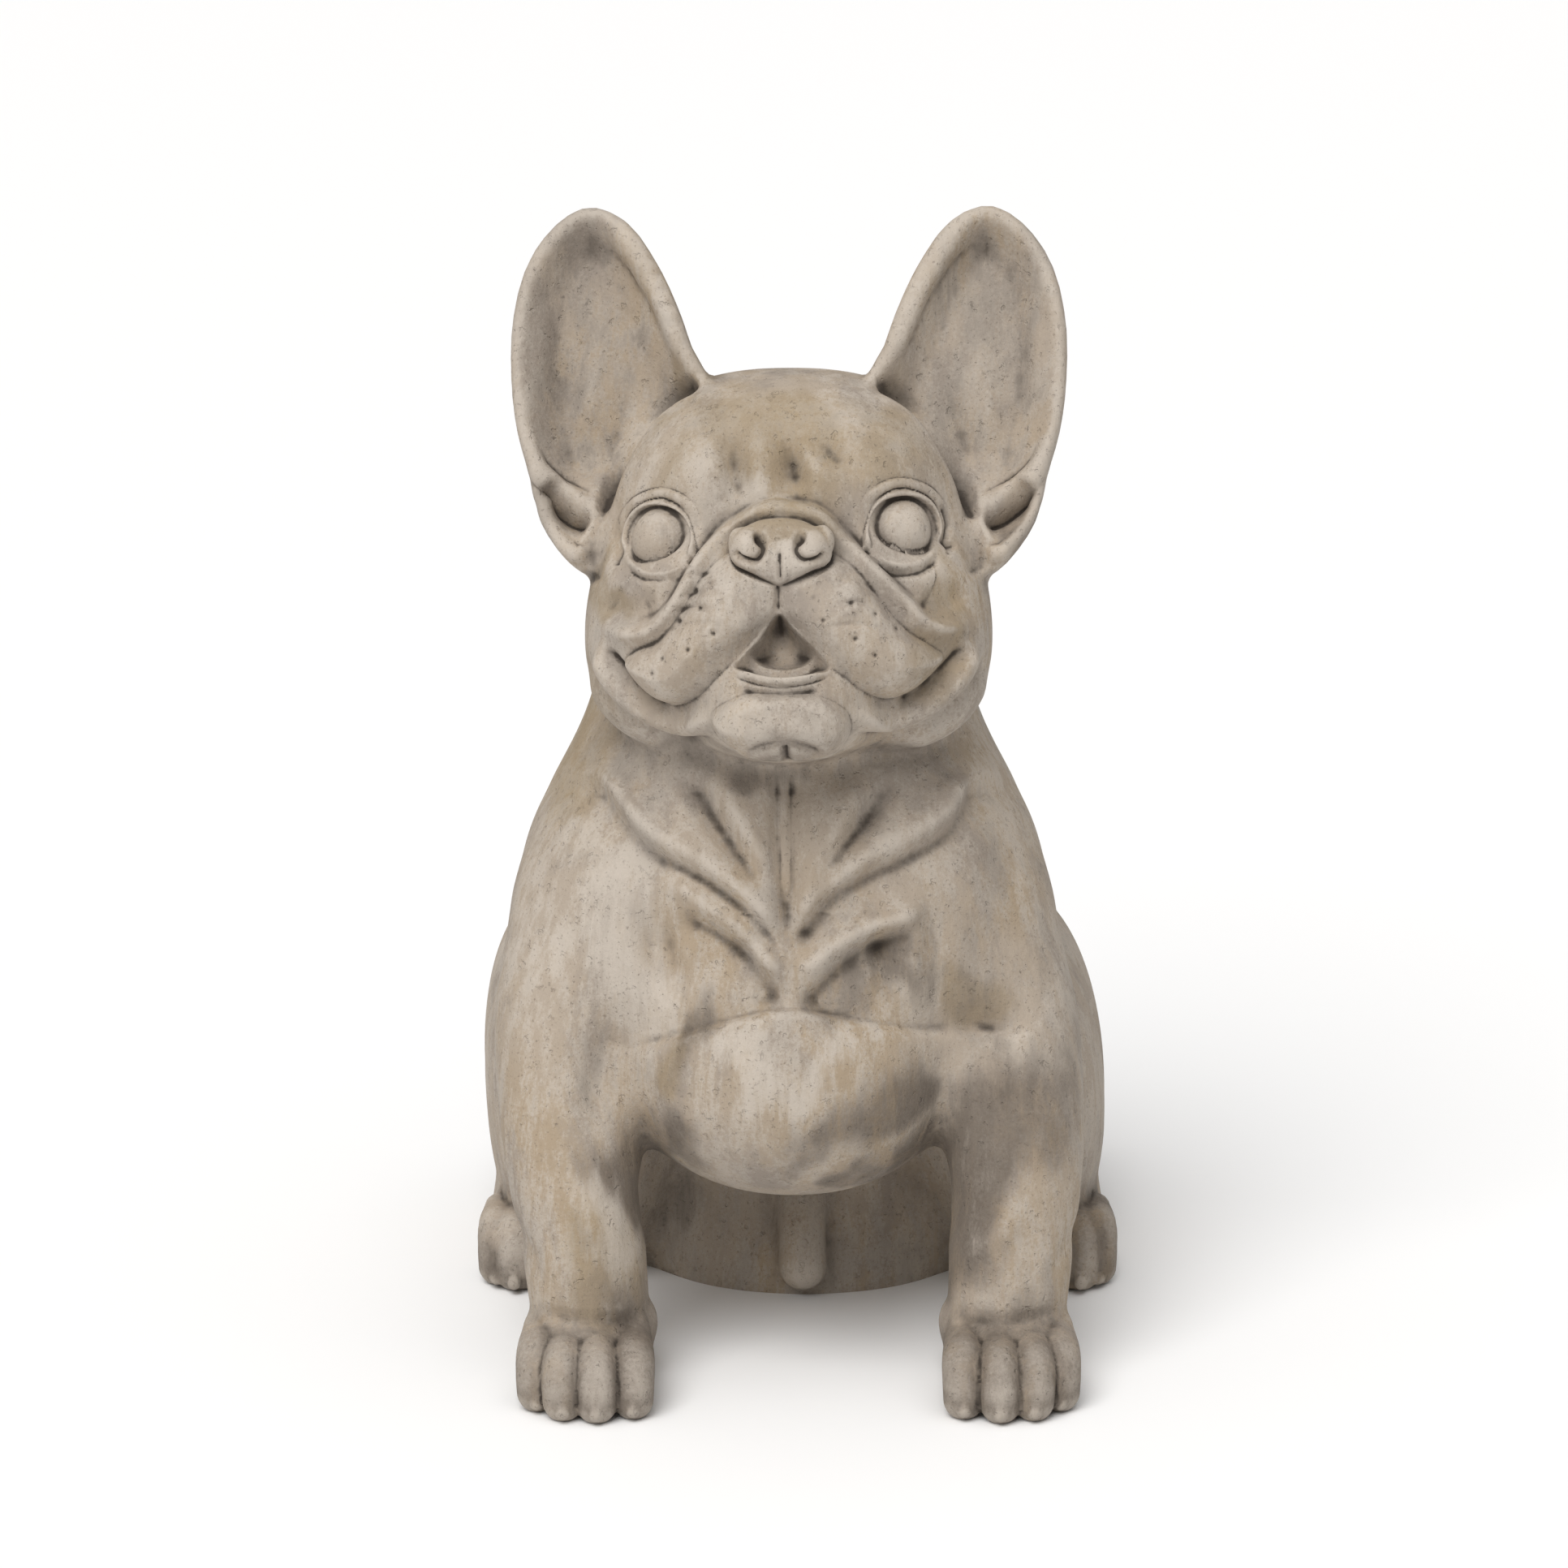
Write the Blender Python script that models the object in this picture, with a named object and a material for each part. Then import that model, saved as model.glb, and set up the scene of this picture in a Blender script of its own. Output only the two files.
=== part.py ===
"""Seated short-faced bulldog with upright ears, one stone casting.

The figure looks along -Y, its right side is at -X, and it rests on the floor at z = 0. It is
drawn in units of 1/460 of its height. The head and the chest are carved on planes that lean
back by LOOK_UP: across, up the face, and out of the face.
"""
import math

import bmesh
import bpy
import numpy as np

# Driving sizes
HEIGHT = 0.460
DRAWN_HEIGHT = 460.0
STRETCH = 1.0185
LOOK_UP = math.radians(15.0)
HEAD_CENTRE = (-4.0, -68.7, 329.6)
HEAD_TURN = math.radians(2.6)
BODY_SWAY = -6.0
CENTRE_BACK = 9.7
CELL = 4.0
FACETS = 9900

# Outlines and lines of the carving, in drawing units
EAR_OUTLINE = (
    (74, 4), (85, -9), (95, -4), (99, 12), (104, 32), (107.5, 56), (107.5, 82), (102.5, 104),
    (92, 120), (78, 128), (63, 122), (50, 105), (41, 88), (35, 74), (26, 56), (48, 28),
)
RIGHT_LIP = (
    (-1, -25), (-1, -33), (-9, -41), (-17, -49.4), (-24, -56), (-31, -62.7), (-39, -66),
    (-48, -64.3), (-55.5, -58), (-61, -50), (-56, -47), (-47, -44), (-40, -35), (-34, -22),
    (-26, -12), (-14, -14),
)
LEFT_LIP = (
    (-0.5, -25), (-0.5, -33), (6, -38.3), (16, -50), (24.6, -56.7), (30.6, -61.2), (38.3, -63.2),
    (47, -61.8), (54.8, -56), (60, -49), (60, -46), (53, -43), (47, -33), (40, -22), (29, -13),
    (14, -14),
)
MOUTH = (
    (-2, -37), (-12, -46), (-17, -52), (-9, -55), (0, -56), (11, -55), (19, -52), (13, -45), (4, -39),
)
CHIN = (
    (-24.9, -70), (-24, -78.6), (-17.7, -83.4), (-9.7, -86), (2, -87), (14, -86), (21.6, -84.3),
    (25.5, -79), (24, -70), (12, -63), (0, -62), (-14, -63),
)
NOSE_FOLD = (
    (-69.7, -41), (-57.5, -44.6), (-48, -40), (-42.5, -34.7), (-36.7, -23.8), (-29, -7.3),
    (-19.6, 1.4), (-9.7, 6), (-0.3, 7.2), (10.9, 5.4), (18.7, -0.4), (25.5, -8), (35.3, -14),
    (43, -21.8), (48.8, -30.5), (54, -39), (60.5, -42.7), (68.4, -39.6),
)
LOWER_LIP = ((71, -42), (66.5, -53), (58, -61.5), (47.8, -68), (36, -71.8), (25.5, -70), (18, -62))
TONGUE = ((-22, -54), (-9, -57.5), (0, -59), (11, -57), (23, -54))
RIGHT_COLLAR = ((-80, 214), (-71, 196), (-56.5, 181), (-37.5, 169), (-24, 162), (-12, 153), (-5, 140))
LEFT_COLLAR = ((66, 204), (51, 186), (34.7, 175.5), (20, 168), (6, 158), (-3, 143))
CHEST_LINE = (
    (-118, 112), (-90, 108), (-57, 109.5), (-32, 112.6), (0, 113.4), (25, 113.5), (50, 111.3),
    (77, 111), (98, 117.6), (110, 120),
)
TOES = ((67.0, -150), (84.0, -153), (97.6, -150), (107.2, -143))
HIND_TOES = ((99, -8), (107, -13), (116, -13), (123, -7))
HIP_CREASES = (
    ((112, 30, 118), (126, 40, 96), (131, 44, 60)),
    ((100, 60, 128), (118, 74, 100), (124, 80, 60)),
)
EYES = ((-48.0, -2.2), (46.0, 0.6))


def clear_scene():
    """Take out everything that is in the scene."""
    for item in list(bpy.data.objects):
        bpy.data.objects.remove(item, do_unlink=True)


def smooth_min(a, b, k):
    """Join two distances with a fillet about k wide."""
    h = np.maximum(k - np.abs(a - b), 0) / k
    return np.minimum(a, b) - h * h * k * 0.25


def smooth_max(a, b, k):
    """Overlap of two distances with an edge rounded about k wide."""
    return -smooth_min(-a, -b, k)


def ease(lo, hi, x):
    """Soft step from nought at lo to one at hi."""
    t = np.clip((x - lo) / (hi - lo), 0, 1)
    return t * t * (3 - 2 * t)


def blob(p, centre, radii, tip=0.0, power=2.0):
    """Distance to an ellipsoid, squarer above power 2, tipped about the x axis."""
    q = p - np.asarray(centre, np.float32)
    if tip:
        c = math.cos(math.radians(tip))
        s = math.sin(math.radians(tip))
        q = np.stack([q[:, 0], q[:, 1] * c + q[:, 2] * s, q[:, 2] * c - q[:, 1] * s], 1)
    r = np.asarray(radii, np.float32)
    a = np.abs(q) / r
    total = np.maximum((a ** power).sum(1), 1e-9)
    reach = total ** (1 / power)
    slope = np.sqrt(((a ** (power - 1) / r) ** 2).sum(1)) * total ** (1 / power - 1)
    return (reach - 1) / np.maximum(slope, 1e-5)


def curve_through(points, count, closed=False):
    """Smooth curve through the points, read at count places."""
    p = np.asarray(points, float)
    if closed:
        p = np.vstack([p[-1], p, p[0], p[1]])
    else:
        p = np.vstack([2 * p[0] - p[1], p, 2 * p[-1] - p[-2]])
    t = np.linspace(0, len(p) - 3, count, endpoint=not closed)
    i = np.minimum(t.astype(int), len(p) - 4)
    f = (t - i)[:, None]
    a, b, c, d = p[i], p[i + 1], p[i + 2], p[i + 3]
    even = 2 * b + (c - a) * f + (2 * a - 5 * b + 4 * c - d) * f ** 2
    return (0.5 * (even + (3 * b - a - 3 * c + d) * f ** 3)).astype(np.float32)


def along(p, path):
    """Distance from each point to a path, and the share of the path passed there."""
    best = np.full(len(p), 1e9, np.float32)
    share = np.zeros(len(p), np.float32)
    steps = len(path) - 1
    for i in range(steps):
        a = path[i]
        d = path[i + 1] - a
        t = np.clip(((p - a) @ d) / max(float(d @ d), 1e-9), 0, 1)
        off = p - a - t[:, None] * d
        gap = (off * off).sum(1)
        near = gap < best
        best[near] = gap[near]
        share[near] = (i + t[near]) / steps
    return np.sqrt(best), share


def limb(p, points, radii, count=10):
    """Distance to a round limb along a curve, with its radius read along the way."""
    r = curve_through(np.asarray(radii, float)[:, None], count)[:, 0]
    d, share = along(p, curve_through(points, count))
    return d - np.interp(share, np.linspace(0, 1, count), r).astype(np.float32)


def rim_distance(p, loop):
    """Distance in a plane to a closed outline, negative inside."""
    best = np.full(len(p), 1e9, np.float32)
    inside = np.zeros(len(p), bool)
    for a, b in zip(loop, np.roll(loop, -1, 0)):
        d = b - a
        t = np.clip(((p - a) @ d) / max(float(d @ d), 1e-9), 0, 1)
        off = p - a - t[:, None] * d
        best = np.minimum(best, (off * off).sum(1))
        rise = d[1] if abs(d[1]) > 1e-9 else 1e-9
        spans = (a[1] > p[:, 1]) != (b[1] > p[:, 1])
        inside ^= spans & (p[:, 0] < d[0] * (p[:, 1] - a[1]) / rise + a[0])
    return np.where(inside, -1, 1) * np.sqrt(best)


def near_path(plane, path, margin):
    """Which points of the plane lie close to a path."""
    return ((plane > path.min(0) - margin) & (plane < path.max(0) + margin)).all(1)


def groove(plane, points, width, height, both=False):
    """Soft valley (height below nought) or ridge along a drawn line, fading at its ends."""
    if both:
        plane = np.stack([np.abs(plane[:, 0]), plane[:, 1]], 1)
    path = curve_through(points, 4 * len(points) + 8)
    out = np.zeros(len(plane), np.float32)
    near = near_path(plane, path, 3 * width)
    if near.any():
        d, share = along(plane[near], path)
        fade = ease(0, 0.16, share) * ease(0, 0.16, 1 - share)
        out[near] = height * fade * np.exp(-((d / width) ** 2))
    return out


def rope(plane, points, width, height, both=False, crease=0.3):
    """Round fold along a drawn line with a crease at each side."""
    if both:
        plane = np.stack([np.abs(plane[:, 0]), plane[:, 1]], 1)
    path = curve_through(points, 4 * len(points) + 8)
    out = np.zeros(len(plane), np.float32)
    near = near_path(plane, path, 2 * width)
    if near.any():
        d, share = along(plane[near], path)
        fade = ease(0, 0.08, share) * ease(0, 0.08, 1 - share)
        top = np.sqrt(np.clip(1 - (d / width) ** 2, 0, 1))
        side = np.exp(-(((d / width - 1.1) / 0.35) ** 2))
        out[near] = height * fade * (top - crease * side)
    return out


def cushion(plane, points, width, height):
    """Swelling inside an outline, steep at the rim and flat in the middle."""
    path = curve_through(points, 3 * len(points), closed=True)
    out = np.zeros(len(plane), np.float32)
    near = near_path(plane, path, 0.0)
    if near.any():
        d = rim_distance(plane[near], path)
        out[near] = height * (1 - np.exp(np.minimum(d, 0) / width))
    return out


def mirrored(p):
    """The same points brought to one side of the middle plane."""
    return np.stack([np.abs(p[:, 0]), p[:, 1], p[:, 2]], 1)


def on_face(p):
    """Points as across, up and out of the face."""
    q = p - np.asarray(HEAD_CENTRE, np.float32)
    c = math.cos(LOOK_UP)
    s = math.sin(LOOK_UP)
    up = q[:, 1] * s + q[:, 2] * c
    out = q[:, 2] * s - q[:, 1] * c
    c = math.cos(HEAD_TURN)
    s = math.sin(HEAD_TURN)
    return np.stack([q[:, 0] * c + out * s, up, out * c - q[:, 0] * s], 1)


def on_chest(p):
    """Points as across and up the leaning plane of the chest."""
    return np.stack([p[:, 0], p[:, 1] * math.sin(LOOK_UP) + p[:, 2] * math.cos(LOOK_UP)], 1)


def ear(m):
    """Upright cupped ear: the outline, a hollowed front and a rounded back."""
    d = rim_distance(m[:, :2], curve_through(EAR_OUTLINE, 40, closed=True))
    depth = np.clip(-d, 0, 40)
    lean = 2 - 0.10 * (m[:, 1] - 50) - 0.10 * (m[:, 0] - 60)
    front = lean + 8 - 9 * ease(5, 20, depth) * ease(4, 30, m[:, 1])
    back = lean - 7 - 9 * ease(0, 26, depth) - 10 * ease(60, 10, m[:, 1])
    return smooth_max(smooth_max(m[:, 2] - front, back - m[:, 2], 6.0), d, 9.0)


def face_carving(plane):
    """How far the carving lifts the face at places on it."""
    up = cushion(plane, RIGHT_LIP, 5.0, 12.0) + cushion(plane, LEFT_LIP, 5.0, 12.0)
    up += cushion(plane, MOUTH, 3.0, -6.0)
    up += cushion(plane, CHIN, 5.0, 6.0)
    up += rope(plane, NOSE_FOLD, 6.0, 6.5)
    up += rope(plane, TONGUE, 4.0, 3.0)
    up += rope(plane, LOWER_LIP, 4.6, 4.0, both=True)
    up += groove(plane, ((-0.7, -20), (-0.7, -28), (-1, -40)), 2.2, -4.5)
    up += groove(plane, ((-17.5, 32), (-18.5, 18), (-17.5, 4)), 3.2, -3.4)
    up += groove(plane, ((-4, 40), (-3.8, 22), (-3.3, 5)), 3.2, -3.8)
    up += groove(plane, ((12.4, 30), (12, 18), (17, 5), (26, -6)), 3.2, -3.4)
    up += groove(plane, ((30, 40), (43, 30), (55, 24)), 4.5, -2.4, both=True)
    up += groove(plane, ((62, -18), (55, -23), (47, -23), (40, -18)), 3.0, -3.2, both=True)
    up += groove(plane, ((72, -22), (66, -30), (60, -36), (52, -36)), 3.0, -2.8, both=True)
    return up


def head(q):
    """Broad skull, cheeks, muzzle, jaw, brows, ears, nose and round eyes."""
    m = mirrored(q)
    f = blob(q, (0, 2, -20), (73, 60, 66), power=2.4)
    f = smooth_min(f, blob(m, (34, -38, -6), (45, 44, 50), power=2.3), 14)
    f = smooth_min(f, blob(q, (0, -34, 14), (60, 40, 46), power=2.4), 16)
    f = smooth_min(f, blob(q, (0, -64, 22), (36, 24, 46), power=2.3), 9)
    f = smooth_min(f, blob(m, (24, 20, 20), (26, 17, 24)), 14)
    f = smooth_min(f, ear(m), 10)
    f = smooth_max(f, -blob(m, (90, 12, 12), (6, 11, 10), tip=0), 4)
    f = f - face_carving(q[:, :2]) * ease(-12, 8, q[:, 2])
    nose = blob(q, (-0.4, -11.4, 54), (20.5, 14, 19), power=2.3)
    nose = smooth_min(nose, blob(m, (13, -10.6, 62), (8, 8.5, 11)), 4)
    nostril = ((9.2, -4.8), (7.6, -9), (8.2, -12.6), (11.6, -14.4), (16.8, -12.8))
    nose = nose - groove(q[:, :2], nostril, 2.0, -4.5, both=True) * ease(36, 54, q[:, 2])
    f = smooth_min(f, nose, 2.4)
    for across, up in EYES:
        e = q - np.asarray((across, up, 0), np.float32)
        if across < 0:
            e[:, 0] *= -1
        f = smooth_max(f, -blob(e, (1.0, 0, 40), (15.5, 15.5, 12)), 5)
        f = smooth_min(f, blob(e, (0.5, 0.3, 30), (12.6, 13.2, 13.5)), 1.6)
        upper = ((-14, -8, 40), (-10.5, 5, 41.5), (0, 12.8, 39.5), (10.5, 9, 35.5), (15.5, -2, 29))
        lower = ((-14, -8, 40), (-6.5, -12, 40), (3.5, -13, 38), (11.5, -9, 34), (15.5, -1, 29))
        f = smooth_min(f, limb(e, upper, (2.2, 3, 3.6, 3.4, 2.4)), 2.6)
        f = smooth_min(f, limb(e, lower, (2.2, 2.6, 2.8, 2.6, 2.2)), 2.6)
    return f


def chest_carving(plane):
    """How far the collar folds, the chest line and the leg creases lift the front."""
    up = rope(plane, RIGHT_COLLAR, 7.5, 4.5) + rope(plane, LEFT_COLLAR, 7.5, 4.5)
    up += groove(plane, ((-38.7, 168), (-25.6, 158), (-13.7, 147), (-3.4, 122)), 3.6, -4.5)
    up += groove(plane, ((30, 152), (12.8, 144), (0, 134), (-3.4, 122)), 3.6, -4.5)
    up += groove(plane, ((-34.3, 196), (-17, 172), (-5, 150)), 3.4, -3.4)
    up += groove(plane, ((26, 196), (10, 174), (-3, 152)), 3.4, -3.4)
    up += groove(plane, ((-5, 224), (-5, 190), (-5, 158.8), (-3.4, 122)), 3.4, -3.8)
    up += groove(plane, CHEST_LINE, 2.6, -1.6)
    up += groove(plane, ((47, 150), (47, 130), (45, 114)), 5.0, -4.5, both=True)
    up += groove(plane, ((113, 38.6), (107, 25.4), (96.8, 4.5)), 3.4, -3.0, both=True)
    up += rope(plane, ((93.7, 52), (79, 30.1), (61.2, 14)), 6.0, 2.2, both=True)
    up += groove(plane, ((56, 3), (70, -4), (90, -6), (108, -1)), 4.0, -2.2, both=True)
    return up


def foot(f, m, toes, length, top, radius):
    """Add round toes, each bent down over the front of a foot."""
    for across, y in toes:
        line = ((across, y + length, top), (across, y + 0.32 * length, top - 4), (across, y, 10))
        f = smooth_min(f, limb(m, line, (0.86 * radius, radius, radius), 6), 2.6)
    return f


def body(p):
    """Neck, trunk, barrel chest, rump, thighs, hind feet and forelegs."""
    q = p.copy()
    q[:, 0] -= BODY_SWAY * ease(30, 190, p[:, 2])
    m = mirrored(q)
    spine = ((0, -35, 300), (0, -29, 260), (0, -11, 205), (0, 22, 145), (0, 64, 96), (0, 86, 78))
    f = limb(q, spine, (67, 75, 86, 92, 87, 80), 14)
    f = smooth_min(f, blob(q, (0, -46, 170), (106, 80, 98), power=2.2), 16)
    f = smooth_min(f, blob(q, (0, -76, 128), (71, 66, 52), power=2.3), 16)
    f = smooth_min(f, blob(q, (0, 88, 34), (92, 84, 88), power=2.4), 26)
    f = smooth_min(f, blob(m, (86, 56, 70), (44, 80, 80), tip=14, power=2.3), 16)
    f = smooth_min(f, limb(m, ((108, 96, 14), (110, 50, 15), (112, 8, 13)), (19, 18, 17.5)), 9)
    f = foot(f, m, HIND_TOES, 24, 24, 8.4)
    f = smooth_min(f, blob(q, (2, 6, 8), (12, 23, 30)), 7)
    f = smooth_min(f, blob(q, (0, 168, 34), (13, 13, 16)), 8)
    leg = ((72, -66, 172), (82, -80, 138), (88, -98, 96), (85, -110, 54), (83, -115, 26))
    f = smooth_min(f, limb(m, leg, (34, 33, 27.5, 24.5, 23), 14), 12)
    paw = foot(blob(m, (85, -124, 14), (29, 30, 19), power=2.3), m, TOES, 30, 25, 8.8)
    paw = smooth_min(paw, blob(m, (60, -112, 22), (6, 7, 8)), 4)
    f = smooth_min(f, paw, 6)
    for line in HIP_CREASES:
        f = f + 2.4 * np.exp(-((along(m, curve_through(line, 8))[0] / 5) ** 2))
    return f - chest_carving(on_chest(p)) * ease(-20, -60, p[:, 1])


def figure(p):
    """Distance to the whole figure, with the head set into the neck."""
    f = np.full(len(p), 1e3, np.float32)
    h = np.full(len(p), 1e3, np.float32)
    low = p[:, 2] < 385
    high = p[:, 2] > 215
    f[low] = body(p[low])
    h[high] = head(on_face(p[high]))
    return smooth_min(f, h, 7.0)


def shifted(axis, first, second):
    """Slices that take all of a grid but the last layer, or all but the first, along an axis."""
    cut = [slice(None)] * 3
    cut[axis] = slice(first, second)
    return tuple(cut)


def close_pinches(grid):
    """Fill the places where the solid would touch itself along a grid edge only."""
    for _ in range(12):
        changed = 0
        for axis in range(3):
            u, v = ((1, 2), (2, 0), (0, 1))[axis]
            corners = []
            for first in (0, 1):
                for second in (0, 1):
                    cut = [slice(None)] * 3
                    cut[u] = slice(first, grid.shape[u] - 1 + first)
                    cut[v] = slice(second, grid.shape[v] - 1 + second)
                    corners.append(grid[tuple(cut)])
            ins = [c < 0 for c in corners]
            one = ins[0] & ins[3] & ~ins[1] & ~ins[2]
            two = ins[1] & ins[2] & ~ins[0] & ~ins[3]
            changed += int(one.sum() + two.sum())
            corners[1][one] = -0.2
            corners[0][two] = -0.2
        if not changed:
            break
    return grid


def skin(axes, grid):
    """Net of quads over the surface: one point a cell, one quad an edge that it crosses."""
    shape = np.array(grid.shape) - 1
    total = np.zeros((*shape, 3), np.float32)
    count = np.zeros(shape, np.float32)
    crossings = []
    for axis in range(3):
        a = grid[shifted(axis, 0, -1)]
        b = grid[shifted(axis, 1, None)]
        at = np.argwhere((a < 0) != (b < 0))
        va = a[tuple(at.T)]
        share = va / (va - b[tuple(at.T)])
        place = np.stack([axes[i][at[:, i]] for i in range(3)], 1)
        place[:, axis] += share * (axes[axis][1] - axes[axis][0])
        u, v = ((1, 2), (2, 0), (0, 1))[axis]
        ring = []
        for du, dv in ((-1, -1), (0, -1), (0, 0), (-1, 0)):
            cell = at.copy()
            cell[:, u] += du
            cell[:, v] += dv
            np.add.at(total, tuple(cell.T), place)
            np.add.at(count, tuple(cell.T), 1)
            ring.append(cell)
        crossings.append((ring, va < 0))
    used = count > 0
    number = np.zeros(shape, np.int64)
    number[used] = np.arange(used.sum())
    faces = []
    for ring, forward in crossings:
        quad = np.stack([number[tuple(cell.T)] for cell in ring], 1)
        quad[~forward] = quad[~forward][:, ::-1]
        faces.append(quad)
    return total[used] / count[used][:, None], np.vstack(faces)


def settle(points, rounds):
    """Slide the points of the net onto the surface."""
    offsets = np.array([[1, 1, 1], [1, -1, -1], [-1, 1, -1], [-1, -1, 1]], np.float32) * 0.5
    for _ in range(rounds):
        values = [figure(points + d) for d in offsets]
        slope = sum(v[:, None] * d for v, d in zip(values, offsets))
        slope = slope / np.maximum(np.sqrt((slope ** 2).sum(1)), 1e-6)[:, None]
        points = points - np.clip(sum(values) / 4, -1.5, 1.5)[:, None] * slope
    return points


def stone():
    """Aged pale stone."""
    material = bpy.data.materials.new("aged_stone")
    material.use_nodes = True
    shader = material.node_tree.nodes["Principled BSDF"]
    shader.inputs["Base Color"].default_value = (0.42, 0.36, 0.29, 1.0)
    shader.inputs["Roughness"].default_value = 0.9
    return material


def drop_crumbs(work):
    """Take out bits that hang on the figure by a point only."""
    left = set(work.faces)
    parts = []
    while left:
        front = [left.pop()]
        bits = set(front)
        while front:
            for edge in front.pop().edges:
                for face in edge.link_faces:
                    if face in left:
                        left.remove(face)
                        bits.add(face)
                        front.append(face)
        parts.append(bits)
    parts.sort(key=len)
    for bits in parts[:-1]:
        bmesh.ops.delete(work, geom=list(bits), context="FACES")


def cut_soles(mesh):
    """Cut the underside flat at the floor and close it."""
    work = bmesh.new()
    work.from_mesh(mesh)
    every = work.verts[:] + work.edges[:] + work.faces[:]
    bmesh.ops.bisect_plane(work, geom=every, plane_co=(0, 0, 0), plane_no=(0, 0, -1), clear_outer=True)
    bmesh.ops.dissolve_degenerate(work, dist=1e-5, edges=work.edges[:])
    drop_crumbs(work)
    rim = [edge for edge in work.edges if edge.is_boundary]
    for edge in rim:
        for vert in edge.verts:
            vert.co.z = 0.0
    soles = bmesh.ops.holes_fill(work, edges=rim, sides=0)["faces"]
    bmesh.ops.triangulate(work, faces=soles)
    bmesh.ops.recalc_face_normals(work, faces=work.faces[:])
    work.to_mesh(mesh)
    work.free()


def build():
    """Make the figure as one closed body and rest it on the floor."""
    clear_scene()
    axes = [np.arange(lo, hi, CELL, dtype=np.float32) for lo, hi in ((-142, 143), (-178, 196), (-12, 470))]
    points = np.stack(np.meshgrid(*axes, indexing="ij"), -1).reshape(-1, 3)
    grid = np.concatenate([figure(part) for part in np.array_split(points, 8)])
    points, faces = skin(axes, close_pinches(grid.reshape([len(a) for a in axes])))
    points = settle(points, 2)
    scale = HEIGHT / DRAWN_HEIGHT * STRETCH
    mesh = bpy.data.meshes.new("net")
    mesh.from_pydata(((points - (0, CENTRE_BACK, 0)) * scale).tolist(), [], faces.tolist())
    net = bpy.data.objects.new("net", mesh)
    bpy.context.scene.collection.objects.link(net)
    thin = net.modifiers.new("facets", "DECIMATE")
    thin.ratio = FACETS / (2 * len(faces))
    graph = bpy.context.evaluated_depsgraph_get()
    carved = bpy.data.meshes.new_from_object(net.evaluated_get(graph))
    bpy.data.objects.remove(net, do_unlink=True)
    cut_soles(carved)
    carved.name = "bulldog"
    carved.materials.clear()
    carved.materials.append(stone())
    carved.shade_smooth()
    carved.set_sharp_from_angle(angle=math.radians(50))
    figure_object = bpy.data.objects.new("bulldog", carved)
    bpy.context.scene.collection.objects.link(figure_object)


build()
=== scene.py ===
"""Seated garden bulldog of aged cast stone, modelled in full and set in a pale studio.

The form is one closed surface where a distance field is nought. Rounded masses joined with
fillets give the body, and marks drawn on the face and the chest lift or press that surface.
The figure is drawn in units of about a millimetre, with its soles at height nought, its front
towards -Y and its ears 451.6 units up; the finished mesh is in metres.
"""
from __future__ import annotations

import logging
import math
from dataclasses import dataclass
from functools import cached_property
from typing import Callable, ClassVar, Sequence

import bmesh
import bpy
import numpy as np
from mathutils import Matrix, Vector

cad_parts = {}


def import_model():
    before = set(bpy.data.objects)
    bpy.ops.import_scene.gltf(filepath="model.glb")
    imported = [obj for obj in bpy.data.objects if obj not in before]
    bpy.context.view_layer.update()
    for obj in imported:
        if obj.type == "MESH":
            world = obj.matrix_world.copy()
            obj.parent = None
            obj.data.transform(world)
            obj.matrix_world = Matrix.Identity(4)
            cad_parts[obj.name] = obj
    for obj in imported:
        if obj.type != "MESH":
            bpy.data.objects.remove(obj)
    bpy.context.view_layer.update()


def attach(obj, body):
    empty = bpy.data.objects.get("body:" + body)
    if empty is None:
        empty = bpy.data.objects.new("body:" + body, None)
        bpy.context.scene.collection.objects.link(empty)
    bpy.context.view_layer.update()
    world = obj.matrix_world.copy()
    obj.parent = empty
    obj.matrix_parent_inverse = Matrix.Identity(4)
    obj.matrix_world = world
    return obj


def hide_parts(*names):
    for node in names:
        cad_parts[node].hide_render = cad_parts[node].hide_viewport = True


logging.basicConfig(level=logging.INFO, format="%(message)s")
LOG = logging.getLogger("bulldog")

Array = np.ndarray
Points = Sequence[Sequence[float]]
Box = tuple[tuple[float, float, float], tuple[float, float, float]]
FieldOf = Callable[[Array], Array]

NODE = "bulldog"
DRAWING_UNIT = 0.0010185  # metres
CENTRE_BACK = 9.7  # how far behind the drawing's middle the finished figure's middle lies
CELL = 2.7  # of the net, in drawing units


# Shaping

def smooth_min(a: Array, b: Array, k: float) -> Array:
    """Join two distances with a fillet.

    Where they differ by less than k, a quarter of k times the square of the missing share is
    taken off the smaller one.

    Args:
        a: First distances.
        b: Second distances.
        k: Width of the fillet.

    Returns:
        Distances to the joined solid.
    """
    h = np.maximum(k - np.abs(a - b), 0) / k
    return np.minimum(a, b) - h * h * k * 0.25


def smooth_max(a: Array, b: Array, k: float) -> Array:
    """Overlap two distances with an edge rounded about k wide.

    Args:
        a: First distances.
        b: Second distances.
        k: Width of the rounding.

    Returns:
        Distances to the overlap.
    """
    return -smooth_min(-a, -b, k)


def ease(lo: float, hi: float, x: Array) -> Array:
    """Soft step, three times the share squared less twice its cube.

    Args:
        lo: Where it is nought.
        hi: Where it is one.
        x: Values to step.

    Returns:
        Shares from nought to one.
    """
    t = np.clip((x - lo) / (hi - lo), 0, 1)
    return t * t * (3 - 2 * t)


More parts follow.
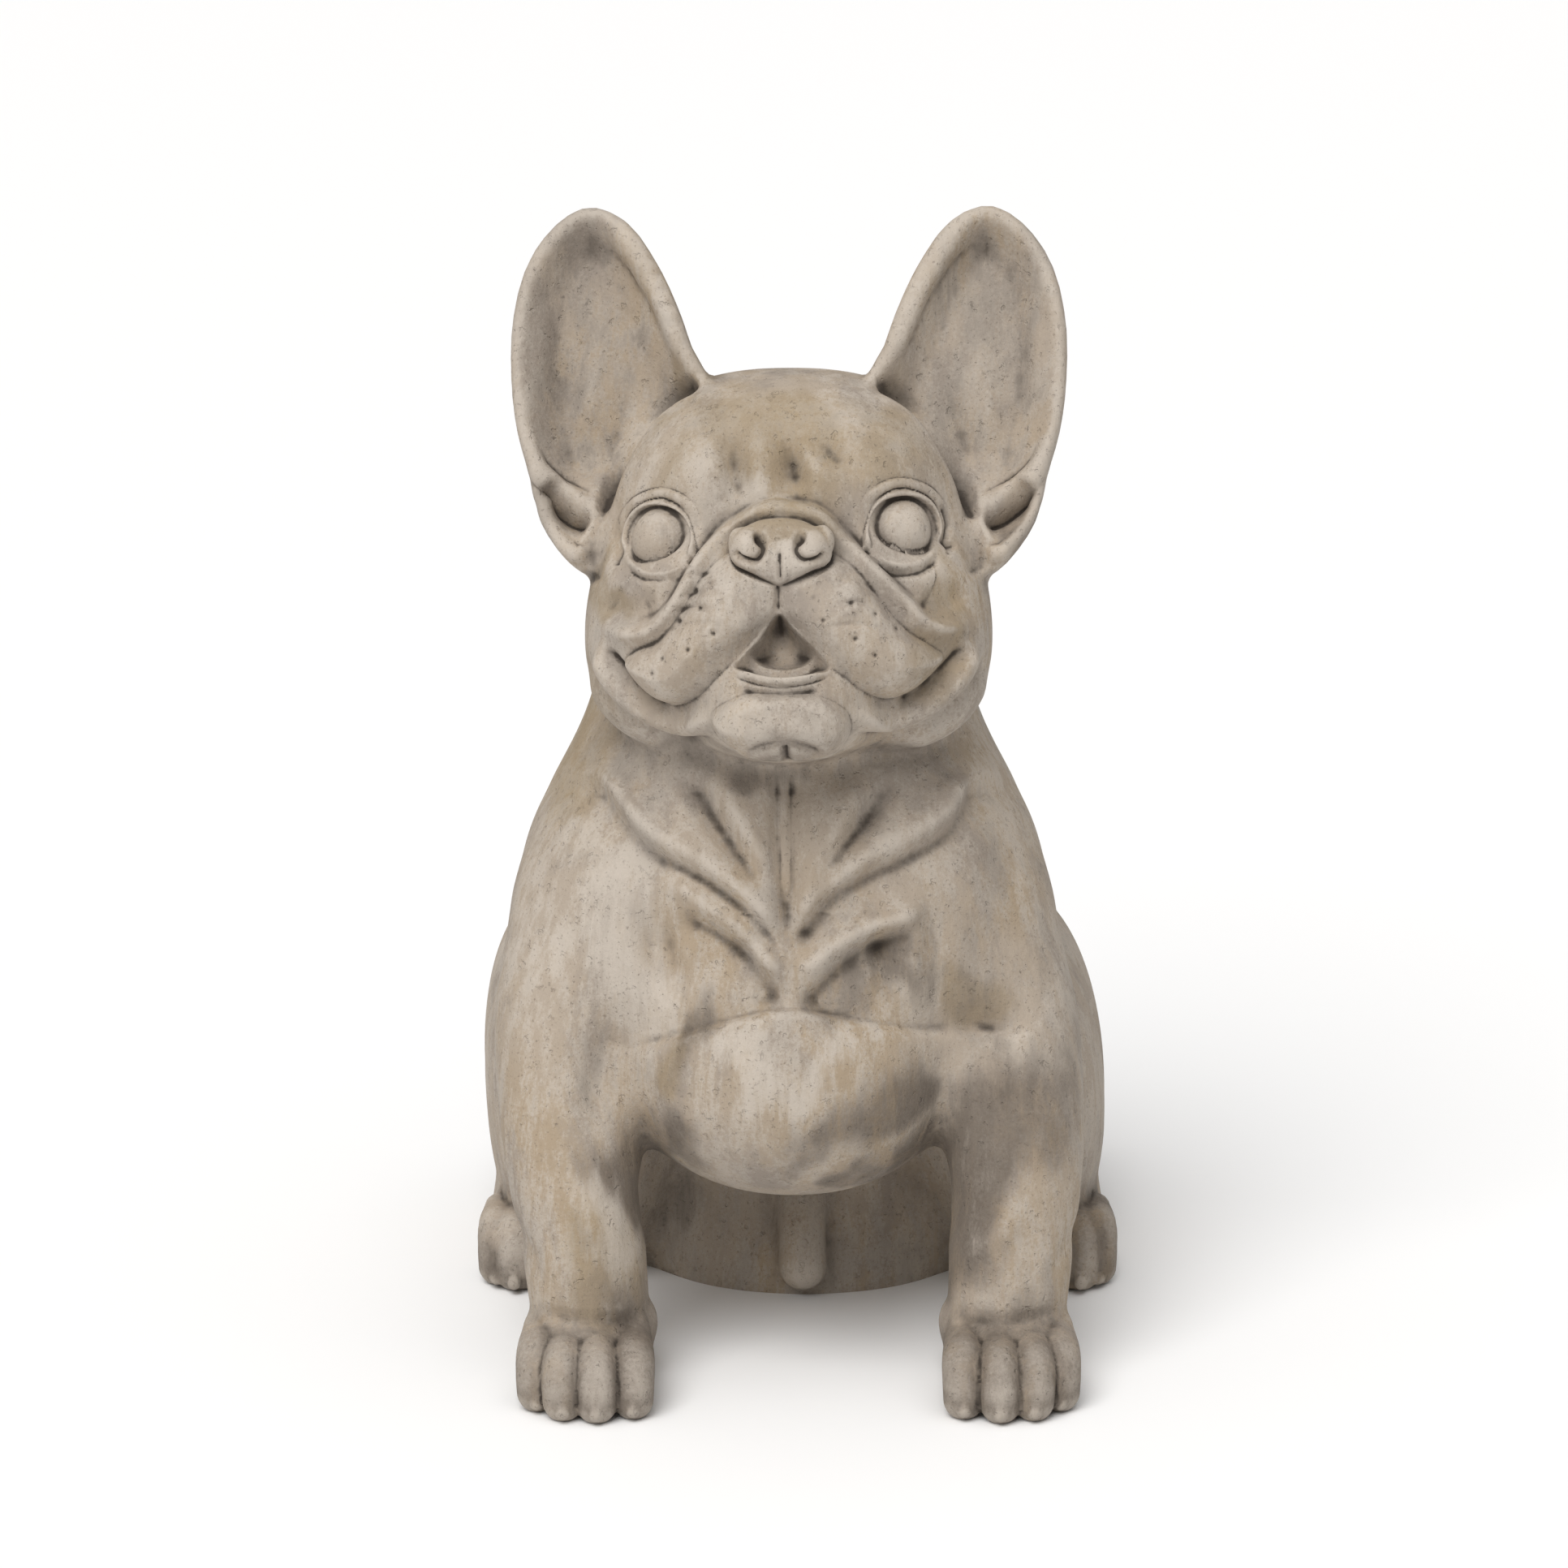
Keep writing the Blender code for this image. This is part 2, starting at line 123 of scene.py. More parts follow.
def blob(
    p: Array, centre: Sequence[float], radii: Sequence[float], tip: float = 0.0, power: float = 2.0,
) -> Array:
    """Distance to an ellipsoid, squarer above power 2.

    The reach is the power mean of the shares of the radii; the distance is the reach less one,
    over the length of its slope.

    Args:
        p: Points.
        centre: Middle of the solid.
        radii: Half sizes.
        tip: Degrees that it is tipped about the x axis.
        power: Squareness.

    Returns:
        Distances, negative inside.
    """
    q = p - np.asarray(centre, np.float32)
    if tip:
        c, s = math.cos(math.radians(tip)), math.sin(math.radians(tip))
        q = np.stack([q[:, 0], q[:, 1] * c + q[:, 2] * s, q[:, 2] * c - q[:, 1] * s], 1)
    r = np.asarray(radii, np.float32)
    a = np.abs(q) / r
    total = np.maximum((a ** power).sum(1), 1e-9)
    slope = np.sqrt(((a ** (power - 1) / r) ** 2).sum(1)) * total ** (1 / power - 1)
    return (total ** (1 / power) - 1) / np.maximum(slope, 1e-5)


def curve_through(points: Points, count: int, closed: bool = False) -> Array:
    """Smooth curve through the points: cubics whose ends lean along the neighbours' chord.

    Args:
        points: Points to pass through.
        count: How many places to read.
        closed: Whether the end joins the start.

    Returns:
        Places along the curve.
    """
    p = np.asarray(points, float)
    if closed:
        p = np.vstack([p[-1], p, p[0], p[1]])
    else:
        p = np.vstack([2 * p[0] - p[1], p, 2 * p[-1] - p[-2]])
    t = np.linspace(0, len(p) - 3, count, endpoint=not closed)
    i = np.minimum(t.astype(int), len(p) - 4)
    f = (t - i)[:, None]
    a, b, c, d = p[i], p[i + 1], p[i + 2], p[i + 3]
    even = 2 * b + (c - a) * f + (2 * a - 5 * b + 4 * c - d) * f ** 2
    return (0.5 * (even + (3 * b - a - 3 * c + d) * f ** 3)).astype(np.float32)


def along(p: Array, path: Array) -> tuple[Array, Array]:
    """Distance from each point to a path, and the share of the path passed there.

    Args:
        p: Points, in a plane or in space.
        path: Corners of the path.

    Returns:
        Distances and shares.
    """
    best = np.full(len(p), 1e9, np.float32)
    share = np.zeros(len(p), np.float32)
    steps = len(path) - 1
    for i in range(steps):
        a = path[i]
        d = path[i + 1] - a
        t = np.clip(((p - a) @ d) / max(float(d @ d), 1e-9), 0, 1)
        off = p - a - t[:, None] * d
        gap = (off * off).sum(1)
        near = gap < best
        best[near] = gap[near]
        share[near] = (i + t[near]) / steps
    return np.sqrt(best), share


def limb(p: Array, points: Points, radii: Sequence[float], count: int = 10) -> Array:
    """Distance to a round limb along a curve, its radius read along the way.

    Args:
        p: Points.
        points: Curve of the limb.
        radii: Radius at each of the curve's points.
        count: Places read along the curve.

    Returns:
        Distances, negative inside.
    """
    r = curve_through(np.asarray(radii, float)[:, None], count)[:, 0]
    d, share = along(p, curve_through(points, count))
    return d - np.interp(share, np.linspace(0, 1, count), r).astype(np.float32)


def rim_distance(p: Array, loop: Array) -> Array:
    """Distance in a plane to a closed outline, negative inside.

    Args:
        p: Points of the plane.
        loop: Corners of the outline.

    Returns:
        Signed distances.
    """
    best = np.full(len(p), 1e9, np.float32)
    inside = np.zeros(len(p), bool)
    for a, b in zip(loop, np.roll(loop, -1, 0)):
        d = b - a
        t = np.clip(((p - a) @ d) / max(float(d @ d), 1e-9), 0, 1)
        off = p - a - t[:, None] * d
        best = np.minimum(best, (off * off).sum(1))
        rise = d[1] if abs(d[1]) > 1e-9 else 1e-9
        spans = (a[1] > p[:, 1]) != (b[1] > p[:, 1])
        inside ^= spans & (p[:, 0] < d[0] * (p[:, 1] - a[1]) / rise + a[0])
    return np.where(inside, -1, 1) * np.sqrt(best)


def mirrored(p: Array) -> Array:
    """Points brought to one side of the middle plane.

    Args:
        p: Points in space.

    Returns:
        The same points with x made positive.
    """
    return np.stack([np.abs(p[:, 0]), p[:, 1], p[:, 2]], 1)


def within(p: Array, box: Box) -> Array:
    """Which points lie in a box.

    Args:
        p: Points.
        box: Lowest and highest corner.

    Returns:
        True for those inside.
    """
    return ((p > box[0]) & (p < box[1])).all(1)


# Marks of the carving

@dataclass(frozen=True)
class Mark:
    """Something carved along a line drawn on a plane.

    Attributes:
        points: The line, in drawing units of its plane.
        width: Half width of the mark.
        height: Lift at its middle; below nought it is cut in.
        fade: Share of the line over which each end dies away.
        both: Whether it stands on both sides of the middle.
    """

    points: Points
    width: float
    height: float
    fade: float = 0.16
    both: bool = False
    closed: ClassVar[bool] = False
    margin: ClassVar[float] = 3.0

    @cached_property
    def path(self) -> Array:
        """The line as a smooth curve."""
        return curve_through(self.points, 4 * len(self.points) + 8, self.closed)

    def ends(self, share: Array) -> Array:
        """How much of the mark is left at each share of the line.

        Args:
            share: Share of the line passed.

        Returns:
            Factors from nought to one.
        """
        if not self.fade:
            return np.ones_like(share)
        return ease(0, self.fade, share) * ease(0, self.fade, 1 - share)

    def lift(self, plane: Array) -> Array:
        """Lift at places of the plane, worked out only near the line.

        Args:
            plane: Places, across and up.

        Returns:
            Lift at each place.
        """
        if self.both:
            plane = np.stack([np.abs(plane[:, 0]), plane[:, 1]], 1)
        out = np.zeros(len(plane), np.float32)
        room = self.margin * self.width
        near = ((plane > self.path.min(0) - room) & (plane < self.path.max(0) + room)).all(1)
        if near.any():
            out[near] = self.profile(plane[near])
        return out

    def profile(self, plane: Array) -> Array:
        """Lift at places close to the line.

        Args:
            plane: Places, across and up.

        Returns:
            Lift at each place.
        """
        raise NotImplementedError


@dataclass(frozen=True)
class Groove(Mark):
    """Soft valley or ridge: a bell curve of the distance from the line."""

    def profile(self, plane: Array) -> Array:
        d, share = along(plane, self.path)
        return self.height * self.ends(share) * np.exp(-((d / self.width) ** 2))


@dataclass(frozen=True)
class Rope(Mark):
    """Round fold with a crease at each side.

    Attributes:
        crease: Depth of the creases as a share of the height.
    """

    crease: float = 0.35
    margin: ClassVar[float] = 2.2

    def profile(self, plane: Array) -> Array:
        d, share = along(plane, self.path)
        x = d / self.width
        top = np.clip(1 - x ** 2, 0, 1) ** 0.75
        side = np.exp(-(((x - 1.08) / 0.30) ** 2))
        return self.height * self.ends(share) * (top - self.crease * side)


@dataclass(frozen=True)
class Ledge(Mark):
    """Step that overhangs a line: raised on the left of the way drawn, dying off over the width.

    Attributes:
        soft: Width of the step itself.
    """

    soft: float = 0.9

    def profile(self, plane: Array) -> Array:
        d, share = along(plane, self.path)
        steps = np.linspace(0, 1, len(self.path))
        ways = np.gradient(self.path, axis=0)
        way = np.stack([np.interp(share, steps, ways[:, i]) for i in (0, 1)], 1)
        off = plane - np.stack([np.interp(share, steps, self.path[:, i]) for i in (0, 1)], 1)
        side = np.where(way[:, 0] * off[:, 1] - way[:, 1] * off[:, 0] > 0, 1, -1)
        s = side * d
        up = 1 / (1 + np.exp(-np.clip(s / self.soft, -30, 30)))
        return self.height * self.ends(share) * up * np.exp(-np.maximum(s, 0) / self.width)


@dataclass(frozen=True)
class Cushion(Mark):
    """Swelling inside an outline: one less the exponential of the depth inside, over the width.

    Attributes:
        soft: Width over which the foot of the swelling is eased.
    """

    soft: float = 1.2
    closed: ClassVar[bool] = True
    margin: ClassVar[float] = 0.5

    def profile(self, plane: Array) -> Array:
        deep = -rim_distance(plane, self.path)
        deep = 0.5 * (deep + np.sqrt(deep ** 2 + self.soft ** 2)) - 0.5 * self.soft
        return self.height * (1 - np.exp(-np.maximum(deep, 0) / self.width))


@dataclass(frozen=True)
class Dimple(Mark):
    """Round pit: a bell curve of the distance from its middle."""

    def profile(self, plane: Array) -> Array:
        gap = ((plane - self.path[0]) ** 2).sum(1)
        return self.height * np.exp(-gap / self.width ** 2)


def dimples(places: Points, width: float, height: float) -> list[Dimple]:
    """Round pits of one size at several places.

    Args:
        places: Their middles.
        width: Half width.
        height: Lift, below nought for a pit.

    Returns:
        One mark for each place.
    """
    return [Dimple((c, (c[0] + 0.01, c[1])), width, height, 0.0) for c in places]


@dataclass(frozen=True)
class Carving:
    """Marks that share a plane.

    Attributes:
        marks: What is carved.
    """

    marks: tuple[Mark, ...]

    def lift(self, plane: Array) -> Array:
        """Sum of the lifts of all marks.

        Args:
            plane: Places, across and up.

        Returns:
            Lift at each place.
        """
        total = np.zeros(len(plane), np.float32)
        for mark in self.marks:
            total += mark.lift(plane)
        return total


# The head

@dataclass(frozen=True)
class Ear:
    """Upright cupped ear, drawn for the left side and used on both.

    Attributes:
        outline: Edge of the ear on the plane of the face.
        hollow: Depth of the cup.
        carving: Rim, folds and the pocket at the root.
    """

    outline: Points = (
        (64, 0), (73, -15), (82, -13), (92.5, 0), (98, 12.5), (100.6, 25), (105, 40), (107.5, 58),
        (107.5, 82), (102.5, 104), (92, 120), (78, 128), (63, 122), (51, 105), (43, 88), (37.5, 73),
        (30, 57), (33, 24),
    )
    hollow: float = 12.0
    carving: Carving = Carving((
        Rope(((35, 62), (41.5, 78), (49.5, 96), (61, 113), (74, 122)), 6.4, 3.6, 0.3, crease=0.0),
        Groove(((32, 60), (44, 54.5), (54, 46), (62.5, 33), (69, 19), (72.5, 4)), 2.4, -5.0, 0.12),
        Groove(((96, 19), (90, 12), (83.5, 6), (76, 2.5)), 4.6, -11.0, 0.2),
        Rope(((98, 12), (92.5, 3), (84, -6.5), (76, -8.5)), 3.6, 2.6, 0.2, crease=0.2),
        Rope(((104, 46), (99, 29), (91, 19.5), (81, 13.5), (71, 9)), 4.6, 3.6, 0.5, crease=0.1),
        Groove(((71, 24), (66, 44), (60, 66)), 4.6, -1.8, 0.4),
        Groove(((88, 36), (86, 60), (82, 84), (78, 104)), 6.0, -1.8, 0.4),
        Groove(((95, 50), (96, 74), (92, 96)), 4.0, 1.2, 0.4),
        Groove(((78, 30), (77, 54), (73, 80)), 4.0, 1.3, 0.4),
    ))

    def rim(self, m: Array) -> Array:
        """Distance to the ear's edge, seen from the front.

        Args:
            m: Points on the face, brought to the left side.

        Returns:
            Distances, negative inside.
        """
        return rim_distance(m[:, :2], curve_through(self.outline, 48, closed=True))

    @staticmethod
    def lean(m: Array) -> Array:
        """How far out the ear's middle layer lies: it leans back upward and outward.

        Args:
            m: Points on the face, brought to the left side.

        Returns:
            Places out of the face.
        """
        return 2 - 0.10 * (m[:, 1] - 50) - 0.10 * (m[:, 0] - 60)

    def distance(self, m: Array) -> Array:
        """Distance to the ear: outline, hollowed front and rounded back overlapped.

        Args:
            m: Points on the face, brought to the left side.

        Returns:
            Distances, negative inside.
        """
        d = self.rim(m)
        depth = np.clip(-d, 0, 40)
        lean = self.lean(m)
        front = lean + 8 - self.hollow * ease(0.5, 19, depth) * ease(2, 34, m[:, 1])
        back = lean - 7 - 10 * ease(0, 26, depth) - 10 * ease(60, 10, m[:, 1])
        return smooth_max(smooth_max(m[:, 2] - front, back - m[:, 2], 5.0), d, 6.0)

    def lift(self, m: Array) -> Array:
        """Folds on the ear's front.

        Args:
            m: Points on the face, brought to the left side.

        Returns:
            Lift at each point.
        """
        d = self.rim(m)
        front = ease(-14, -6, m[:, 2] - self.lean(m))
        return self.carving.lift(m[:, :2]) * front * ease(1.0, -3.5, d)


@dataclass(frozen=True)
class Eye:
    """Bulging eye in a shallow socket with thin lids.

    Attributes:
        centre: Middle of the eye on the face: across, up, out.
        turn: Degrees that it looks outward.
        upper: Edge of the upper lid, from the inner corner, for an eye turned to the front.
        fold: Thin fold above it.
        lower: Edge of the lower lid.
        rim: Radius of the ball as seen from the front.
    """

    centre: tuple[float, float, float]
    turn: float = 26.0
    upper: Points = ((-14.6, -9.4), (-13.4, -1), (-9.8, 8), (-1, 13.6), (9.4, 11), (13.8, 3), (13.8, -5.5))
    fold: Points = ((-17, 4), (-12.2, 12.6), (-1.5, 17.4), (10, 15), (16.8, 7.4), (17.6, -1))
    lower: Points = ((-14.6, -9.6), (-9.4, -12.4), (-3, -13.8), (5, -13), (10.8, -9.8), (13.8, -5))
    rim: float = 12.4

    @property
    def side(self) -> float:
        """Which way is outward."""
        return -1.0 if self.centre[0] < 0 else 1.0

    def line(self, points: Points) -> Points:
        """A line of the eye as seen on the face.

        Args:
            points: The line for an eye turned to the front, outward and up.

        Returns:
            The line across and up the face.
        """
        narrow = self.side * math.cos(math.radians(self.turn - 4))
        return tuple((self.centre[0] + narrow * x, self.centre[1] + y) for x, y in points)

    def marks(self) -> tuple[Mark, ...]:
        """Lids, the fold over them and the duct at the inner corner."""
        duct = ((-13, -8.2), (-14.4, -9.4), (-15.4, -10.4))
        tail = ((15, -3), (18.5, -6), (19.5, -10))
        return (
            Rope(self.line(self.upper), 1.7, 1.9, 0.1, crease=0.12),
            Rope(self.line(self.fold), 2.0, 0.9, 0.35, crease=0.4),
            Rope(self.line(self.lower), 1.8, 0.5, 0.2, crease=0.1),
            Groove(self.line(duct), 1.3, -1.6, 0.1),
            Groove(self.line(tail), 1.1, -1.2, 0.2),
        )

    def clear(self, plane: Array) -> Array:
        """Share of the face's carving that is kept near the eye, so that none runs over the ball.

        Args:
            plane: Places across and up the face.

        Returns:
            From nought on the ball to one beside it.
        """
        off = plane - np.asarray(self.centre[:2], np.float32)
        return ease(self.rim + 0.8, self.rim + 5.0, np.sqrt((off ** 2).sum(1)))

    def lift(self, plane: Array) -> Array:
        """Lids and folds beside the ball.

        Args:
            plane: Places across and up the face.

        Returns:
            Lift at each place.
        """
        off = plane - np.asarray(self.centre[:2], np.float32)
        return Carving(self.marks()).lift(plane) * ease(self.rim, self.rim + 1.4, np.sqrt((off ** 2).sum(1)))

    def carve(self, f: Array, q: Array) -> Array:
        """Cut the socket and add the ball.

        Args:
            f: Distances to the head so far.
            q: Points on the face.

        Returns:
            Distances with the eye.
        """
        e = q - np.asarray(self.centre, np.float32)
        near = (np.abs(e) < 34).all(1)
        if not near.any():
            return f
        c, s = math.cos(math.radians(self.turn)), math.sin(math.radians(self.turn))
        x = e[near, 0] * self.side
        e = np.stack([x * c - e[near, 2] * s, e[near, 1], x * s + e[near, 2] * c], 1)
        g = smooth_max(f[near], -blob(e, (0, 1.4, 3.6), (12.6, 12.6, 5.0)), 2.4)
        g = smooth_min(g, blob(e, (-0.2, -0.4, -4.0), (12.4, 12.5, 13.0)), 1.2)
        f = f.copy()
        f[near] = g
        return f


@dataclass(frozen=True)
class Nose:
    """Nose leather: a rounded slab with a ball at each side and a comma of a nostril round it.

    Attributes:
        outline: Edge of the leather on the plane of the face.
        carving: Nostrils and the groove down the middle.
        middle: Places across and up of the middle of the nose, on the plane of the face.
    """

    outline: Points = (
        (0, 4), (7.4, 3.3), (13, 0.7), (17.2, -3.6), (18.6, -8.7), (16.4, -13.6), (10.7, -16.9),
        (4.6, -19.9), (0, -21.6), (-4.6, -19.9), (-10.7, -16.9), (-16.4, -13.6), (-18.6, -8.7),
        (-17.2, -3.6), (-13, 0.7), (-7.4, 3.3),
    )
    carving: Carving = Carving((
        Groove(((9.4, -0.8), (6.9, -4.6), (6.5, -9), (9.4, -12.4), (15, -11.6),
                (18, -8.4)), 1.25, -2.9, 0.1, True),
        Dimple(((7.8, -4.6), (7.81, -4.6)), 1.8, -1.8, 0.0, True),
        Groove(((0, -8), (0, -14), (0, -21)), 0.9, -1.6, 0.2),
    ))
    middle: tuple[float, float] = (-0.4, -8.6)

    def rim(self, q: Array) -> Array:
        """Distance to the nose's edge, seen from the front.

        Args:
            q: Points on the face.

        Returns:
            Distances, negative inside.
        """
        across = (-self.middle[0], 0)
        return rim_distance(q[:, :2] + across, curve_through(self.outline, 40, closed=True))

    def distance(self, q: Array) -> Array:
        """Distance to the nose.

        Args:
            q: Points on the face.

        Returns:
            Distances, negative inside.
        """
        m = mirrored(q)
        d = self.rim(q)
        front = 71.0 - 0.011 * q[:, 0] ** 2 - 0.014 * (q[:, 1] + 12) ** 2 - 0.36 * np.maximum(q[:, 1] + 9, 0)
        slab = smooth_max(smooth_max(d, q[:, 2] - front, 5.0), 40 - q[:, 2], 3.0)
        return smooth_min(slab, blob(m, (12.3, -7.0, 62.5), (6.6, 7.2, 8.4)), 2.2)

    def cover(self, q: Array) -> Array:
        """How much of the face is under the nose.

        Args:
            q: Points on the face.

        Returns:
            One on the nose, nought beside it.
        """
        return ease(1.0, 0.0, self.rim(q))


@dataclass(frozen=True)
class Head:
    """Broad skull, cheeks, muzzle, jaw, ears, nose, eyes and the folds of the face.

    Attributes:
        centre: Where the plane of the face stands, in the drawing.
        look_up: Degrees that the face leans back.
        turn: Degrees that the head is turned.
        ear: Ear, used on both sides.
        nose: Nose.
        eyes: Both eyes.
        carving: Flews, mouth, lips, the roll over the nose, jowls, chin, furrows, whisker pits.
    """

    centre: tuple[float, float, float] = (-4.0, -68.7, 329.6)
    look_up: float = 15.0
    turn: float = 2.6
    ear: Ear = Ear()
    nose: Nose = Nose()
    eyes: tuple[Eye, ...] = (Eye((-47.6, -2.8, 35.0)), Eye((45.2, 0.7, 35.2)))
    carving: Carving = Carving((
        Cushion((
            (-0.9, -9), (-0.9, -22), (-1, -30.6), (-8.4, -39.4), (-17, -49), (-24, -56), (-31, -62.7),
            (-39, -66), (-48, -64.6), (-56, -58.6), (-61, -50), (-55, -45), (-47, -42), (-39, -33.5),
            (-31, -20.6), (-22.6, -11), (-13, -6),
        ), 6.0, 10.5, soft=1.6),
        Cushion((
            (-0.5, -9), (-0.5, -22), (-0.5, -30.6), (6, -37.6), (15.6, -49.6), (24.6, -56.7),
            (30.6, -61.4), (38.3, -63.8), (47, -62), (55, -56.4), (61, -48), (55, -43), (47, -38),
            (39.5, -30), (31.6, -20), (22.6, -11.4), (12.6, -6),
        ), 6.0, 10.5, soft=1.6),
        Cushion(((-1, -32), (-8.6, -41.4), (-15, -48.4), (-18, -52.4), (-9, -56), (0, -57.2), (10, -56.2),
                 (18.5, -53), (14, -46.6), (6, -38.4)), 1.5, -6.0),
        Cushion(((-1.2, -33), (-8.6, -42.4), (-12, -48), (0, -50.4), (11, -49), (12.6, -45.8),
                 (5, -38.6)), 1.5, -5.0),
        Rope(((-18.6, -52.6), (-9, -56), (0, -57.4), (10, -56), (18.5, -53)), 2.4, 2.4, 0.2, crease=0.2),
        Groove(((-16, -60.5), (-6, -62.6), (6, -62.4), (16, -60.2)), 1.6, -1.8),
        Groove((
            (-74, -36), (-64.4, -38), (-55.5, -39.4), (-47.4, -37), (-41.2, -30.4), (-35, -20.6),
            (-27.9, -10), (-19.8, -1.4), (-10.4, 5.4), (2, 7.4), (13.1, 4.2), (21, -4.2), (29.8, -13),
            (38.4, -20.4), (46.2, -28), (51.7, -34), (58.4, -37.3), (66.2, -36.5), (74, -33),
        ), 3.6, 4.8, 0.12),
        Groove(((-66, -33), (-56, -34), (-47, -29), (-40, -18.6), (-32, -7.2), (-23, 4), (-11, 11.4),
                (2, 13.4),
                (15, 9.6), (25, 0.6), (34, -8.6), (43, -17), (51, -26), (58, -31.6)), 2.0, -1.9, 0.2),
        Groove(((-62, -29), (-52, -27), (-44, -22), (-37, -12)), 5.0, -2.4, 0.4),
        Groove(((60, -28), (52, -24), (45, -18), (38, -10)), 5.0, -1.8, 0.4),
        Groove(((-71, -40), (-67.5, -53), (-59, -63), (-48, -69.6), (-36, -73), (-24, -72)), 3.8, 5.0, 0.16),
        Groove(((71, -39), (67.8, -52), (59, -61.8), (48, -68.4), (36, -71.6), (25, -70.6)), 3.8, 5.0, 0.16),
        Groove(((-76, -46), (-72, -57), (-62, -67.6), (-50, -75), (-37, -79), (-25, -79)), 2.0, -3.2, 0.2),
        Groove(((76, -45), (72.6, -56), (63, -66.8), (50.6, -74), (37.6, -77.6),
                (26, -77.6)), 2.0, -3.2, 0.2),
        Groove(((-80, -50), (-75, -62), (-64, -73.6), (-50, -81), (-36, -86)), 5.4, 3.0, 0.3),
        Groove(((80, -49), (76, -61), (65, -72.6), (50.6, -80), (36, -85)), 5.4, 3.0, 0.3),
        Groove(((-69, -43), (-63.5, -50.6), (-57.6, -57.6), (-50, -64.2), (-42, -68)), 2.0, -4.2),
        Groove(((69, -42), (63.8, -49.6), (57.6, -56.4), (50, -62.6), (42, -66.4)), 2.0, -3.4),
        Cushion((
            (-26, -69), (-25, -77), (-19, -82.6), (-12, -86.6), (1, -87.6), (14, -86.6), (21, -83.6),
            (26, -76), (24, -68), (13, -62.6), (0, -61.6), (-14, -62.6),
        ), 7.0, 11.0),
        Groove(((-14.5, -80.5), (-4.8, -76.6), (2.1, -75.8), (9, -77), (15.4, -80.5)), 1.5, -2.0),
        Groove(((-14.5, -71.5), (-5, -69), (5, -69), (15, -71)), 2.2, -1.2),
        Groove(((2.0, -76), (2.1, -88)), 1.5, -2.6),
        Groove(((-0.8, -19), (-0.8, -25), (-1, -31)), 1.1, -2.2, 0.2),
        Groove(((-24, 46), (-19.8, 34), (-17.6, 22), (-17.4, 10), (-21, -2)), 5.8, -5.6, 0.45),
        Groove(((-4, 44), (2.2, 29), (4.2, 18), (8, 4)), 5.4, -5.2, 0.45),
        Groove(((12, 42), (15.6, 34), (22, 27), (34, 19)), 5.8, -4.4, 0.45),
        Groove(((-38, 44), (-44, 30), (-52, 20), (-62, 14)), 5.0, -1.8, 0.4),
        Ledge(((-73, -25), (-66, -31), (-56, -32.6), (-46, -29)), 10.0, -5.0, 0.25, soft=1.8),
        Ledge(((49.6, -27), (56.5, -30.4), (65, -28), (72, -21)), 10.0, -3.6, 0.25, soft=1.8),
        Groove(((-62, 4), (-64, -10), (-60, -19)), 3.0, -1.4),
        Groove(((-36, -13), (-44, -17), (-54, -17.4), (-61, -12)), 1.5, -1.8),
        Groove(((35, -12), (43, -15.5), (52, -15.6), (60, -10)), 1.5, -1.8),
        Groove(((59, 12), (62.4, 4), (61.6, -3), (66, -6)), 1.3, -2.0),
        Groove(((-73, 10), (-74, -6), (-76, -20)), 4.0, -2.4),
        Groove(((72, 12), (73, -4), (75, -18)), 4.0, -2.4),
        *dimples(((-31.6, -23.3), (-24.9, -21.1), (-32.5, -44.4), (-23.7, -39), (-42.5, -47.5),
                  (-28.4, -30.4), (-37.3, -34.8), (-46, -52), (11.5, -25.4), (20.7, -20.7), (24, -28.1),
                  (33.9, -32.4), (14.8, -33.3),
                  (26.1, -40.8), (41.9, -37.6), (33, -46)), 1.2, -1.1),
        Groove(((-38, -21), (-31, -17.6), (-23, -17.4)), 1.2, -0.9, 0.4),
        Groove(((-40, -26.6), (-32, -24.6), (-22, -24)), 1.2, -0.9, 0.4),
        Groove(((-42, -33), (-33, -29.6), (-16, -29.6)), 1.2, -0.9, 0.4),
        Groove(((-44, -39), (-33, -36), (-19, -35.4)), 1.2, -0.7, 0.4),
        Groove(((12, -21.4), (24, -19.4), (36, -24.6)), 1.2, -0.9, 0.4),
        Groove(((14, -29), (26, -27.4), (40, -32.6)), 1.2, -0.9, 0.4),
        Groove(((13, -37), (27, -36), (44, -40)), 1.2, -0.7, 0.4),
    ))

    def on_face(self, p: Array) -> Array:
        """Points as across, up and out of the leaning, turned face.

        Args:
            p: Points of the drawing.

        Returns:
            The same points in the face's own directions.
        """
        q = p - np.asarray(self.centre, np.float32)
        c, s = math.cos(math.radians(self.look_up)), math.sin(math.radians(self.look_up))
        up = q[:, 1] * s + q[:, 2] * c
        out = q[:, 2] * s - q[:, 1] * c
        c, s = math.cos(math.radians(self.turn)), math.sin(math.radians(self.turn))
        return np.stack([q[:, 0] * c + out * s, up, out * c - q[:, 0] * s], 1)

